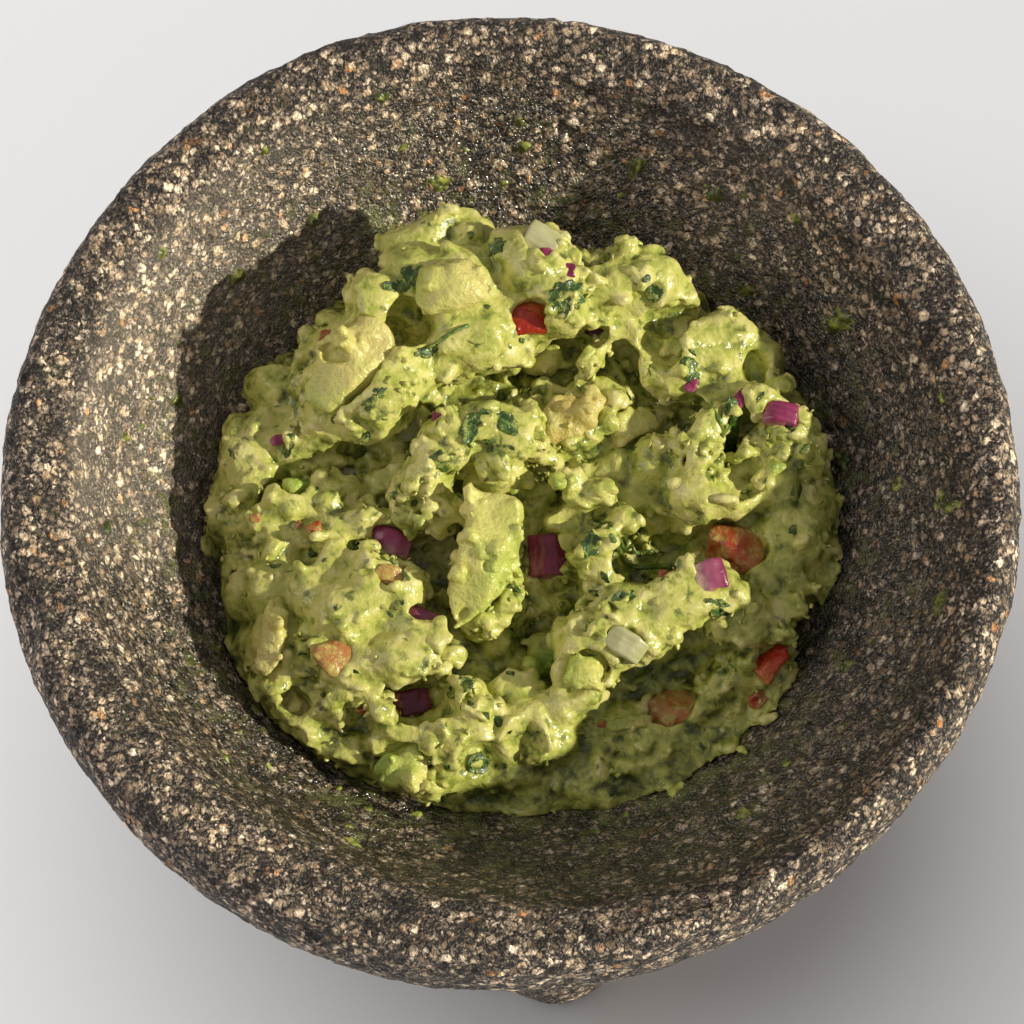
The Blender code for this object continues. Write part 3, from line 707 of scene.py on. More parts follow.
def evenly(points, spacings):
    """Re-spaces a profile; spacings gives the wanted step, mm, at each of its points."""
    points = np.array(points, float)
    steps = np.hypot(*np.diff(points, axis=0).T)
    count_at = np.concatenate([[0.0], np.cumsum(steps / (0.5 * (spacings[1:] + spacings[:-1])))])
    wanted = np.linspace(0.0, count_at[-1], int(round(count_at[-1])) + 1)
    return np.column_stack([np.interp(wanted, count_at, points[:, axis]) for axis in range(2)])


BOWL_COLUMNS = 540
COARSE_STEP = 2.0          # mm between rows under the belly
FINE_STEP = 0.85           # mm between rows where the food and the diner are
HIDDEN_STEP = 6.0          # mm between rows under the mash


def bowl_profile():
    """Radius and height from the underside's middle, up over the lip and down the wall."""
    turns = np.linspace(0.5 * pi, 0.0, 120)[1:]
    belly = [(OUTER_RADIUS * cos(turn), WIDEST_Z - (WIDEST_Z - BELLY_BOTTOM_Z) * sin(turn))
             for turn in turns]
    turns = np.linspace(0.0, 0.5 * pi, 30)[1:]
    outer_lip = [(CREST_RADIUS + (OUTER_RADIUS - CREST_RADIUS) * cos(turn),
                  WIDEST_Z + (HEIGHT - WIDEST_Z) * sin(turn)) for turn in turns]
    inner_lip = [(CREST_RADIUS + (WALL_TOP_RADIUS - CREST_RADIUS) * part,
                  HEIGHT - (HEIGHT - WALL_TOP_Z) * part ** LIP_ROUNDING)
                 for part in np.linspace(0.0, 1.0, 20)[1:]]
    wall = [(radius, wall_z(radius)) for radius in np.linspace(WALL_TOP_RADIUS, 1.0, 160)[1:]]
    points = np.array(belly + outer_lip + inner_lip + wall)
    on_wall = np.arange(len(points)) >= len(belly) + len(outer_lip) + len(inner_lip)
    spacings = np.full(len(points), FINE_STEP)
    spacings[:len(belly)] = COARSE_STEP - (COARSE_STEP - FINE_STEP) * blended(
        80.0, 100.0, points[:len(belly), 1])
    spacings[on_wall & (points[:, 0] < 52.0)] = HIDDEN_STEP
    return evenly(points, spacings)


def carved(radius, height, bearing, inside):
    """The carver's hand: the outline and the hollow's mouth are a little out of round."""
    near_rim = np.clip((height - CARVED_FROM_Z) / (WIDEST_Z - CARVED_FROM_Z), 0.0, 1.0)
    if not inside:
        return radius + outline_wander(bearing) * near_rim
    into_mouth = np.clip((CREST_RADIUS - radius) / (CREST_RADIUS - WALL_TOP_RADIUS), 0.0, 1.0)
    return radius + lip_wander(bearing) * into_mouth * near_rim


def stone_relief(points):
    """How deep the pecked surface lies under the true form, mm."""
    tooled = 0.32 * bumps(points, 13.0, 1) + 0.26 * bumps(points, 6.0, 2)
    grain = 0.22 * bumps(points, 2.7, 3) + 0.16 * bumps(points, 1.7, 4)
    pits = 1.5 * np.clip(bumps(points, 4.2, 5) - 0.42, 0.0, None)
    return np.clip(0.62 + tooled + grain, 0.05, None) + pits


def chip(points):
    """A flake that broke off the outer edge of the lip."""
    middle = np.array((-93.0, -29.0, 112.0))
    away = np.linalg.norm((points - middle) / (7.0, 12.0, 8.0), axis=1)
    return 2.6 * (1.0 - blended(0.2, 1.0, away))


def stone_bowl(material):
    profile = bowl_profile()
    crest_row = int(np.argmax(profile[:, 1]))
    bearings = np.linspace(0.0, 2.0 * pi, BOWL_COLUMNS, endpoint=False)
    rings = []
    for row, (radius, height) in enumerate(profile):
        reach = carved(radius, height, bearings, row > crest_row)
        rings.append(np.column_stack([reach * np.cos(bearings), reach * np.sin(bearings),
                                      np.full(BOWL_COLUMNS, height)]))
    points = np.concatenate([[(0.0, 0.0, BELLY_BOTTOM_Z)], *rings,
                             [(0.0, 0.0, HOLLOW_FLOOR_Z)]])
    column = np.arange(BOWL_COLUMNS)
    following = (column + 1) % BOWL_COLUMNS
    last = len(points) - 1
    low = 1 + np.arange(len(profile) - 1)[:, None] * BOWL_COLUMNS
    high = low + BOWL_COLUMNS
    corners = [(rows + columns).ravel() for rows, columns in (
        (low, column), (low, following), (high, following), (high, column))]
    faces = np.concatenate([
        np.column_stack([np.zeros_like(column), 1 + following, 1 + column]),
        np.column_stack(corners[:3]), np.column_stack([corners[0], *corners[2:]]),
        np.column_stack([last - BOWL_COLUMNS + column, last - BOWL_COLUMNS + following,
                         np.full_like(column, last)])])
    mesh = mesh_of("molcajete_bowl", points, faces)
    _, normals = points_of(mesh)
    points = points - normals * (stone_relief(points) + chip(points))[:, None]
    put_points(mesh, points)
    inner = np.zeros(len(points))
    inner[1 + crest_row * BOWL_COLUMNS:] = 1.0
    paint(mesh, "stain", stain_strength(points) * inner)
    paint(mesh, "oil", blended(112.0, 96.0, points[:, 2]) * inner)
    # pale is painted light and shade on the wall below the lip's top, by bearing: lighter where
    # the wall faces the lights, darker where it lies in the key light's shade.
    paint(mesh, "pale", 1.0 + (wall_painted_light_and_shade(points) - 1.0)
          * inner * blended(113.5, 108.0, points[:, 2]))
    return add_piece("molcajete_bowl", mesh, material, ["molcajete"])


# Painted light and shade on the hollow's wall, by bearing in degrees: above 1 lighter where the
# wall faces the lights, most on the left; below 1 darker on the near and right walls in the key
# light's shade.
WALL_PAINTED_LIGHT_AND_SHADE = (
    (-180, 1.5), (-165, 1.0), (-150, 0.85), (-120, 0.72), (-90, 0.62), (-45, 0.6), (0, 0.62),
    (30, 0.85), (50, 1.2), (90, 0.95), (125, 1.3), (150, 1.8), (170, 1.8), (180, 1.5))


def wall_painted_light_and_shade(points):
    bearings = np.degrees(np.arctan2(points[:, 1], points[:, 0]))
    return np.interp(bearings, *np.array(WALL_PAINTED_LIGHT_AND_SHADE).T)


def stain_strength(points):
    """Where food has rubbed the wall green: most near the mash, fading to the lip."""
    return 0.8 - 0.6 * blended(74.0, 108.0, points[:, 2])


LEG_BOX = 48.0             # half the width of the block that a leg is carved from
LEG_BLEND = 9.0            # how softly a leg flares into the belly
STONE_SKIN = 0.9           # the legs start this far under the bowl's true form
# A leg's height, how far out its middle is, and its radius there.
LEG_FORM = ((0, 67, 14.2), (3, 67, 15.2), (14, 66, 17.2), (28, 63, 20.5), (42, 58, 25),
            (56, 52, 29), (70, 45, 31), (90, 35, 31))


def stone_legs(material):
    """Three stout legs that flare into the belly, cut from the same block."""
    points = []
    faces = []
    heights, distances, radii = np.array(LEG_FORM, float).T
    for bearing in LEG_BEARINGS:
        outward = np.array((cos(radians(bearing)), sin(radians(bearing))))
        middle = outward * 60.0
        clay = Clay((*(middle - LEG_BOX), -2.0), (*(middle + LEG_BOX), 78.0), 1.0)
        x, y, z = clay.place
        distance = np.interp(z, heights, distances)
        leg = np.sqrt((x - outward[0] * distance) ** 2 + (y - outward[1] * distance) ** 2)
        leg = leg - np.interp(z, heights, radii)
        belly = clay.from_egg((slice(None),) * 3, (0.0, 0.0, WIDEST_Z),
                              (OUTER_RADIUS, OUTER_RADIUS, WIDEST_Z - BELLY_BOTTOM_Z),
                              turned(0.0))
        share = np.clip(0.5 + 0.5 * (belly + STONE_SKIN - leg) / LEG_BLEND, 0.0, 1.0)
        joined = (belly + STONE_SKIN + (leg - belly - STONE_SKIN) * share
                  - LEG_BLEND * share * (1.0 - share))
        grid = np.stack(np.broadcast_arrays(x, y, z), -1).reshape(-1, 3)
        near = (np.abs(joined) < 4.0).ravel()
        relief = np.zeros(near.shape, np.float32)
        relief[near] = stone_relief(grid[near])
        joined = joined + relief.reshape(joined.shape)
        # Only 3 mm deep into the bowl, and level at the feet and the block's sides.
        joined = np.maximum(joined, -(belly + 3.0))
        joined = np.maximum(joined, 0.12 - z)
        edge = np.maximum(np.abs(x - middle[0]), np.abs(y - middle[1])) - (LEG_BOX - 1.5)
        clay.outside = np.maximum(joined, edge).astype(np.float32)
        skin, triangles = clay.skin(0.25)
        faces.append(triangles + sum(len(part) for part in points))
        points.append(skin)
    mesh = mesh_of("molcajete_legs", np.concatenate(points), np.concatenate(faces))
    for name, value in (("stain", 0.0), ("oil", 0.0), ("pale", 1.0)):
        paint(mesh, name, np.full(len(mesh.vertices), value))
    return add_piece("molcajete_legs", mesh, material, ["molcajete"])


# ---- the mash --------------------------------------------------------------------------
# Lumps pressed on the heap: middle x, y, top z, half-width, half-depth, half-height,
# turn, tone (-1 dark green, 1 pale cream), and for some a tilt to the front.
LUMPS = (
    # far left crest, its curl and the ragged back
    (-27, 27, 106.5, 12.5, 15, 15, -30, 0.2), (-33, 18, 99, 10, 9, 12, -20, 0.1),
    (-27, 38.5, 109, 6, 6.5, 10, 20, 0.1), (-37, 30, 97, 6, 10, 9, -30, -0.3),
    (-18, 54.5, 103.5, 7.5, 5, 10, 25, 0.1), (-10, 56, 105.5, 5, 4.5, 9, 0, 0.1),
    (-5, 51.5, 100, 5, 4, 9, 0, -0.3),
    # far crest
    (-12, 42, 108, 11.5, 10, 13, 15, 0.2), (-17, 44.5, 107, 8, 8, 12, 0, -0.1),
    (-8, 33, 106.5, 9, 7, 9, 10, 0.15), (-2, 36, 105, 7, 7, 9, 0, 0.2),
    (-12, 27.5, 100.5, 12, 3.6, 4.5, 22, 0.2, -12), (-3, 29.5, 101.5, 8, 3.4, 4, 18, 0.25, -12),
    (5.5, 46.5, 111, 8, 8.5, 14, 0, 0), (10, 40.5, 109, 7, 7.5, 12, 0, 0.1),
    (3, 37.5, 105.5, 6.5, 5.5, 9, 0, 0.35), (1, 50.5, 108, 6, 5.5, 12, 0, -0.1),
    # far right horn
    (21, 44, 106, 7, 7, 11, 0, 0.1), (28, 44.5, 106.5, 6.5, 6.5, 11, -25, 0.2),
    (23.5, 51, 106.5, 2.6, 2.6, 4.5, 0, 0.3), (33.5, 43.5, 100, 4, 4.5, 8, 0, -0.2),
    (18, 38.5, 101, 5.5, 5, 8, 0, 0.15), (24, 34.5, 98.5, 4, 4.5, 7, 0, 0),
    # small bits between the far crest and the slope
    (16, 29.5, 98, 4.5, 1.8, 4, 35, 0.3), (20, 33.5, 99, 1.8, 3.6, 4.5, 0, 0),
    # far right slope
    (33, 32, 98.5, 10, 8.5, 8, -15, 0.1), (42, 33, 98, 7, 7, 8, -35, 0.15),
    (45.5, 37, 97.5, 5.5, 4.5, 8, -30, 0), (50, 32, 95, 6, 6, 9, -40, -0.2),
    (33, 33, 101.5, 3.4, 2.9, 3, 0, 0.8), (43, 25, 95.5, 9, 8, 6, -30, -0.3),
    (50.5, 23, 96, 6.5, 5, 8, 30, 0),
    # tan slab and the smooth green face below it
    (13, 20, 94.5, 12, 7, 6, 14, 0.1, -8), (25, 6, 90.5, 13, 9, 7, 0, -0.35),
    # right ridge
    (51, 19.5, 100, 5, 3.8, 7, -30, 0.3), (56, 15.5, 98.5, 5, 4.5, 7.5, 0, 0.3),
    (60, 12, 95.5, 4, 4.5, 7, 0, 0.2), (41, 15.5, 99, 6, 2.6, 5.5, 30, 0.3),
    (38, 10.5, 98.5, 3.6, 6, 7, -8, 0.3), (37, 1.5, 98.5, 5, 4.8, 8, 0, 0.45),
    (47.5, 8.5, 98.5, 4.4, 6, 7.5, -25, 0.3), (44.5, 2.5, 98.5, 5.6, 4.6, 8, 15, 0.3),
    (53, 7, 94, 6, 7, 7, 0, -0.1), (31, 10.5, 94, 6.5, 5, 5, 0, -0.1),
    # right shoulder, down to the wall
    (57, -1, 90, 7.5, 9, 9, 0, -0.25), (53, -9, 89, 7.5, 8, 8, 0, -0.35),
    (61, 2, 88, 5, 9, 8, 0, -0.2), (58, -12, 86, 5, 7, 7, 0, 0),
    # the middle hand: knuckles, wrist and arm
    (-6.5, 13, 106, 9.5, 5.5, 9, 14, 0.1), (1, 12, 104.5, 6.5, 6, 9, 0, 0.25),
    (-13, 9.5, 104.5, 5.5, 6, 8.5, 0, 0.2), (-16.5, 4.5, 101.5, 5, 6.5, 8, -20, 0.3),
    (-4, 6.5, 101, 5, 4, 6, 0, 0.15), (-13, -1.5, 97.5, 5, 4.5, 6, 0, 0.35),
    (6, 8.5, 97, 3, 4, 5, 0, 0.2),
    # bits between the hand and the column
    (11, 3.5, 97.5, 4.5, 3.4, 5, 20, 0.6), (18, 2, 97, 3.6, 2.6, 4.5, 0, 0.6),
    (12, -3, 96.5, 4.8, 3.4, 5.5, 0, 0.3),
    # the long piece's bed
    (-4.5, -6, 96.5, 6.5, 9, 9, 0, 0.2), (-4, -18, 94, 5.5, 8.5, 8, 0, 0),
    # middle column
    (16.5, -8, 98, 5.6, 5, 9, 0, -0.1), (18.5, -14, 95, 5, 5, 8, 0, 0.1),
    (22, -4.5, 95.5, 3, 3.6, 5.5, 0, 0.1),
    # left terrace and step
    (-47.5, 27, 93, 5.5, 6, 9, 35, -0.15), (-52, 15.5, 90, 6.5, 7.5, 8, 0, 0),
    (-47, 17.5, 93.5, 6, 4.6, 7, 15, 0.2), (-40, 16.5, 94, 8, 6.5, 8, 0, 0),
    (-42.5, 3, 94, 6.5, 6.5, 7, 20, 0.2), (-46.5, -3.5, 91, 7.5, 6.5, 7.5, 40, 0.2),
    (-53.5, 4, 86.5, 7, 9, 8, 0, -0.1), (-51, 9, 89, 6.5, 7, 8, 0, 0),
    (-34.5, 5.5, 92.5, 5.5, 6, 7, 0, 0.15), (-34, -4, 92.5, 6, 4.4, 7, 15, 0.25),
    # middle left
    (-26, -3.5, 94, 6.5, 4.6, 7, 0, 0.35), (-23.5, 8, 91, 5, 6.5, 6, 0, -0.2),
    (-33, -10, 93.5, 5, 4, 7, 0, 0.1),
    # near left hump
    (-24, -16.5, 97, 8.5, 6, 9, -20, 0.25), (-31, -21, 96, 9, 6.5, 9, 20, 0.3),
    (-37.5, -17, 93, 6, 6, 8, 0, 0.2), (-17, -24.5, 94.5, 8.5, 4.4, 7.5, -22, 0.2),
    (-20, -30, 94.5, 8, 5, 8, 15, 0.45), (-31, -30.5, 93, 7, 5.5, 8, 10, 0.3),
    (-36, -27, 91, 5, 4, 7, 0, 0.2), (-29.5, -36.5, 89.5, 7.5, 4, 7, -12, 0.35),
    # near left foot, along the wall
    (-46.5, -13, 89, 7, 8, 8, 10, -0.1), (-44.5, -27, 87.5, 6, 8, 8, 30, 0.1),
    (-52, -10, 84.5, 5.5, 9, 7, 0, -0.2), (-49, -26, 80, 4.5, 8, 5, 28, -0.3),
    (-36.5, -37, 84, 6.5, 5, 7, -25, 0),
    # near lumps and the peak
    (-19, -44, 87, 8, 6, 8, 0, 0.2), (-9, -45, 87.5, 7.5, 6, 8, 10, 0.25),
    (-7, -38, 91, 2.8, 3, 6, 0, 0.3), (-12.5, -38, 87.5, 5.5, 4, 6, 20, 0.1),
    (0.5, -43, 87.5, 3.4, 6.5, 7, -20, 0.35), (-16, -50.5, 81, 9, 4.5, 7, 5, 0.2),
    (-2, -50, 80, 9, 4, 6, 5, 0),
    # near ridge
    (6, -42.5, 87.5, 2.4, 6.5, 7, 12, 0.4), (13, -37, 89.5, 7, 4.5, 7, 28, 0.3),
    (8.5, -44, 84, 5, 5, 7, 30, -0.1), (1, -32, 86, 6, 6, 6, 0, 0.1),
    # front right ridge
    (15, -27.5, 93.5, 6.5, 6.5, 8, 10, 0.35), (22, -23.5, 96, 7, 6, 7.5, 20, 0.1),
    (29.5, -21, 96, 7.5, 5.5, 7, 28, 0.3), (27, -27, 92.5, 8, 4, 5.5, 26, 0.3),
    (36.5, -18.5, 96, 5, 5.5, 7, 10, 0.35), (41, -17.5, 94, 4.5, 5, 6.5, 0, 0.1),
    (17, -33, 91.5, 5, 3.6, 5.5, 20, 0.3), (46, -21, 90, 6.5, 6.5, 7, 0, -0.3),
    (52, -19, 87, 6, 7, 7, 0, -0.3),
    # low right, in the shade
    (45, -31, 83, 8.5, 5, 6, 28, -0.2), (41.5, -38.5, 80, 5, 4.5, 6, 0, 0.1),
    (20, -41, 79.5, 8, 3, 5, 8, 0.2), (26, -46, 77.5, 12, 4.5, 5, 8, -0.2),
    # more of the right shoulder
    (54.5, 0, 88, 4.5, 4.5, 6, 0, 0),
    # the smooth foot at the near left
    (-40, -41.5, 81.5, 8, 6.5, 8, 35, -0.1), (-31.5, -46.5, 80.5, 8.5, 5.5, 8, 25, -0.2),
    (-46.5, -33, 83.5, 6.5, 6.5, 8, 50, 0),
)
# Gaps that the spoon and the folds left: middle x, y, z, half sizes, turn.
GAPS = (
    (-21.5, 33, 101, 1.4, 3, 4, 20), (-8, 23.5, 94, 9, 2.6, 5, 20),
    (-14.5, 20.5, 93, 3, 5, 6, -20), (-28.5, 12.5, 90, 5, 3.6, 5.5, 0),
    (-9, 3.5, 94, 1.8, 2.6, 7, 0), (-12.5, -14, 90, 2.8, 10, 8, -8), (6, 26, 93, 4, 1.8, 5, 0),
    (15, 34.5, 96, 5.5, 2, 5, 8), (43.5, 13.5, 93, 2, 3.4, 6, -15),
    (29.5, -33, 83, 15, 3.2, 5.5, 23), (-20.5, -37, 85, 6.5, 2.2, 4.5, 5),
    (-29, -8.5, 90, 3.4, 1.8, 4.5, 0), (30.5, 38, 96, 3, 2, 5, 0),
    (4.5, 0.5, 92, 1.6, 6.5, 7, 0), (13.5, -16.5, 89, 2.6, 1.8, 5, 0), (26, -6, 86, 9, 3, 6, 5),
    (41, -4, 88, 4, 3, 5, 0), (-24, 2, 90, 3.6, 2, 4, 0), (2.5, -26.5, 86, 4.5, 5, 5, 0),
    (-38, 9.5, 91, 4, 2, 4, 20), (34, 20, 93, 6, 2.4, 4, 10), (47, 18, 93, 3.4, 2, 4.5, 0),
    (58, -20, 80, 4, 6, 5, 0),
)
MASH_SPACING = 0.45        # mm between the mash's voxels
MASH_TRIANGLES = 196000
SPOON_STROKES = 150
MASH_LOW = (-69.0, -64.0, 54.0)
MASH_HIGH = (74.0, 70.0, 113.5)
PLATEAU_Z = 85.0
GAP_WIDER, GAP_DEEPER = 1.15, 1.25      # the gaps close up again when the flesh is mended
REACH_INTO_WALL = 0.8      # the mash reaches just into the stone, so that no gap shows
# Places where the spoon left the flesh smooth: middle x, y, z, and reach.
SMOOTH_PLACES = (
    (24, 4, 90, 11), (36, 28, 96, 9), (12, 20, 95, 8), (-20, -48, 84, 6), (-41, -40, 80, 9),
    (-8, -58, 74, 9), (18, -56, 74, 9),
)


def shore_radius(bearing):
    """Where the mash meets the wall: pushed up a little on the right and far sides."""
    return 61.8 + wave(bearing, (3.4, 1, -25.0), (1.4, 2, 25.0), (1.0, 3, 93.0))


def mash_clay(pieces):
    """The heap as clay: plateau, lumps, gaps, torn relief, and a ragged edge on the wall."""
    clay = Clay(MASH_LOW, MASH_HIGH, MASH_SPACING)
    chance = np.random.default_rng(MASH_SEED)
    x, y, z = clay.place
    clay.warp([clay.smooth_noise(10.0, 20 + axis) + 0.6 * clay.smooth_noise(4.5, 30 + axis)
               for axis in range(3)])
    bearing = np.arctan2(y, x)
    shore = shore_radius(bearing) + 1.7 * clay.smooth_noise(9.0, 50)
    radius = np.hypot(x, y)
    outness = np.minimum(radius / shore, 1.0)
    edge = wall_z(shore)
    plateau = PLATEAU_Z + 0.115 * y + 0.02 * x
    heap = edge + (plateau - edge) * (1.0 - outness ** 7) - 0.8
    # The distance up, made shorter for the heap's slope.
    clay.outside = ((clay.place[2] - heap) * 0.8).astype(np.float32)
    clay.tone[:] = -0.25
    for middle_x, middle_y, top, wide, deep, high, turn, tone, *tilt_front in LUMPS:
        clay.egg((middle_x, middle_y, top - high), (wide, deep, high),
                 turned(turn, 0.0, *tilt_front), blend=1.5, tone=tone, squareness=2.8)
    for middle_x, middle_y, middle_z, wide, deep, high, turn in GAPS:
        clay.egg((middle_x, middle_y, middle_z), (wide * GAP_WIDER, deep * GAP_DEEPER, high),
                 turned(turn), blend=1.0, cut=True)
    clay.ragged = raggedness(clay)
    scoop(clay, chance)
    mend(clay, reach=7, web=0.2, crevice=0.64)
    clear_over(clay, pieces)
    tear(clay, chance, chunks=1500, dents=350, crumbs=3200)
    mend(clay, reach=3, web=0.24, crevice=0.78)
    # Once more, tighter, so that no crumb is left on a piece's top.
    clear_over(clay, [(points, lift + 0.2, 0.86 * share, 1) for points, lift, share, _ in pieces])
    ragged_edge = 1.3 * clay.smooth_noise(3.5, 51) + 0.6 * clay.smooth_noise(1.6, 52)
    past_shore = (radius - shore - 1.2 + ragged_edge).astype(np.float32)
    wall = (wall_z(radius) - REACH_INTO_WALL - z) / np.sqrt(1.0 + wall_slope(radius) ** 2)
    clay.outside = np.maximum(np.maximum(clay.outside, past_shore), wall.astype(np.float32))
    return clay


def raggedness(clay):
    """How torn the flesh is, 0 to 1: in drifts, and not where the spoon smoothed it."""
    ragged = blended(-0.3, 0.6, clay.smooth_noise(14.0, 40))
    for middle_x, middle_y, middle_z, reach in SMOOTH_PLACES:
        part = clay.window((middle_x, middle_y, middle_z), reach + 1.0)
        away = np.sqrt(sum((np.broadcast_to(place, clay.size)[part] - middle) ** 2
                           for place, middle in zip(clay.place, (middle_x, middle_y, middle_z))))
        ragged[part] *= blended(0.6 * reach, reach, away)
    return ragged


def scoop(clay, chance):
    """Shallow strokes of the spoon, which leave smooth facets with ridges between."""
    for cell in clay.skin_cells(chance, SPOON_STROKES, 0.4):
        halves = (chance.uniform(6.0, 12.0), chance.uniform(4.0, 6.0), chance.uniform(3.5, 5.0))
        turn = any_turn(chance)
        reach = np.linalg.norm((clay.outward(cell) @ turn) * halves)
        clay.bit(cell, halves, reach - chance.uniform(0.6, 1.9), turn, 0.5, cut=True)


def box_of(points):
    """The middle of a convex piece, its half sizes, and the turn of its own axes."""
    middle = points.mean(axis=0)
    offsets = points - middle
    _, _, axes = np.linalg.svd(offsets, full_matrices=False)
    if np.linalg.det(axes) < 0.0:
        axes[2] = -axes[2]
    return middle, np.abs(offsets @ axes.T).max(axis=0), axes.T


def clear_over(clay, pieces):
    """Bares each larger piece from above: its own room first, then a widening way up."""
    for points, lift, share, steps in pieces:
        middle, halves, turn = box_of(points)
        half_height = points[:, 2].max() - middle[2]
        for step in range(steps):
            rise = (lift + 0.8 * step) * half_height
            clay.cut_room(middle + (0.0, -0.4 * step, rise), halves * (share + 0.06 * step),
                          turn, 0.8)


def mend(clay, reach, web, crevice):
    """Takes away webs and fills crevices, by the share of flesh round each place."""
    full = spread((clay.outside < 0.0).astype(np.float32), reach)
    steepness = 3.6 * reach * MASH_SPACING
    clay.outside = np.maximum(clay.outside, steepness * (web - full))
    clay.outside = np.minimum(clay.outside, steepness * (crevice - full))


def tear(clay, chance, chunks, dents, crumbs):
    """The relief of torn, soft flesh: folds, chunks, dents, shreds and granules."""
    ragged = clay.ragged

    def granules(width, seed, smooth, torn):
        clay.outside -= (smooth + torn * ragged) * (
            np.abs(clay.smooth_noise(width, seed)) - 0.3)

    def places(count, depth, smooth):
        """Cells of the skin, fewer of them where it is smooth."""
        for cell in clay.skin_cells(chance, count, depth):
            if chance.uniform() <= smooth + (1.0 - smooth) * ragged[tuple(cell)]:
                yield cell

    granules(7.0, 41, 0.25, 0.35)
    for cell in places(chunks, 0.5, 0.25):
        size = np.exp(chance.uniform(np.log(1.2), np.log(3.4)))
        halves = size * np.array((1.0, chance.uniform(0.55, 0.95), chance.uniform(0.45, 0.8)))
        clay.bit(cell, halves, size * chance.uniform(-0.6, -0.1), any_turn(chance), 0.35,
                 tone=chance.choice((-0.5, 0.0, 0.3, 1.0)), squareness=3.2)
    for cell in places(dents, 0.5, 0.15):
        size = chance.uniform(0.8, 2.0)
        halves = size * np.array((chance.uniform(1.0, 1.8), 1.0, chance.uniform(0.6, 1.0)))
        clay.bit(cell, halves, size * chance.uniform(0.3, 0.8), any_turn(chance), 0.3,
                 cut=True, squareness=2.5)
    for cell in places(crumbs, 0.45, 0.1):
        size = chance.uniform(0.5, 1.2)
        halves = size * np.array((chance.uniform(1.0, 2.0), 1.0, chance.uniform(0.6, 1.0)))
        clay.bit(cell, halves, size * chance.uniform(-0.65, 0.0), any_turn(chance), 0.3,
                 tone=chance.normal(0.25, 0.5), squareness=2.7)
    granules(3.2, 42, 0.3, 0.4)
    granules(1.7, 43, 0.2, 0.25)


def mash(material, pieces):
    clay = mash_clay(pieces)
    points, faces = clay.skin(0.1)
    # It faces in until the bits are scattered, since their places hang on its corners' order.
    mesh = finished("mash", mesh_of("mash", points, faces[:, ::-1]), (
        "DECIMATE", {"ratio": MASH_TRIANGLES / len(faces), "use_collapse_triangulate": True}))
    points, _ = points_of(mesh)
    inside = (clay.outside < 0.0).astype(np.float32)
    # Painted shade: the tone is lowered on the low mash by the wall, which lies mostly in shade.
    low = 1.0 - blended(72.0, 86.0, points[:, 2])
    paint(mesh, "tone", clay.sample(clay.tone, points) - low)
    # fold: how enclosed each place is; the material paints shade in creases by it, and gathers
    # herb there.
    paint(mesh, "fold", clay.sample(spread(inside, 4), points))
    radius = np.hypot(points[:, 0], points[:, 1])
    off_wall = (points[:, 2] - wall_z(radius)) / np.sqrt(1.0 + wall_slope(radius) ** 2)
    paint(mesh, "bare", blended(0.3, 1.2, off_wall))
    paint(mesh, "torn", blended(0.3, 1.2, off_wall) * clay.sample(clay.ragged, points))
    return add_piece("mash", mesh, material, ["guacamole"]), clay


# ---- the larger pieces -------------------------------------------------------------------
# What sets single pieces apart: how tan an avocado piece is, how smeared a tomato dice,
# and how pale an onion dice.
KINDS = {
    "avocado_tan_slab": 0.9, "avocado_near_left_slab": 0.35, "avocado_left_slab": 0.4,
    "avocado_left_nub": -1.0, "avocado_near_green": -0.8, "avocado_middle_green": -1.0,
    "avocado_front_right_nub": -0.5, "avocado_long": -0.25, "avocado_left_crest": 0.2,
    "avocado_far_crest": 0.1,
    "tomato_far": -0.05, "tomato_right": 0.34, "tomato_front_right": 0.42,
    "tomato_right_low": 0.12, "tomato_near_left": 0.46, "tomato_left": 0.45,
    "tomato_left_middle": 0.5,
    "red_onion_far": -0.4, "red_onion_near": -0.5, "red_onion_near_left": 0.9,
    "red_onion_left": -0.1, "red_onion_middle": 0.15, "red_onion_right": 0.35,
    "red_onion_front_right": 0.2, "red_onion_right_rim": 0.4,
}
PIECE_SPACING = 0.42       # mm between a piece's voxels


def piece_points(name):
    """The corners of a piece of the frame, mm."""
    return points_of(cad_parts[name].data)[0]


def joined(name):
    """A copy of a frame piece's mesh with its corners merged."""
    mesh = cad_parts[name].data.copy()
    form = bmesh.new()
    form.from_mesh(mesh)
    bmesh.ops.remove_doubles(form, verts=form.verts, dist=1e-6)
    bmesh.ops.dissolve_limit(form, angle_limit=radians(3.0), verts=form.verts, edges=form.edges)
    bmesh.ops.triangulate(form, faces=form.faces)
    form.to_mesh(mesh)
    form.free()
    return mesh


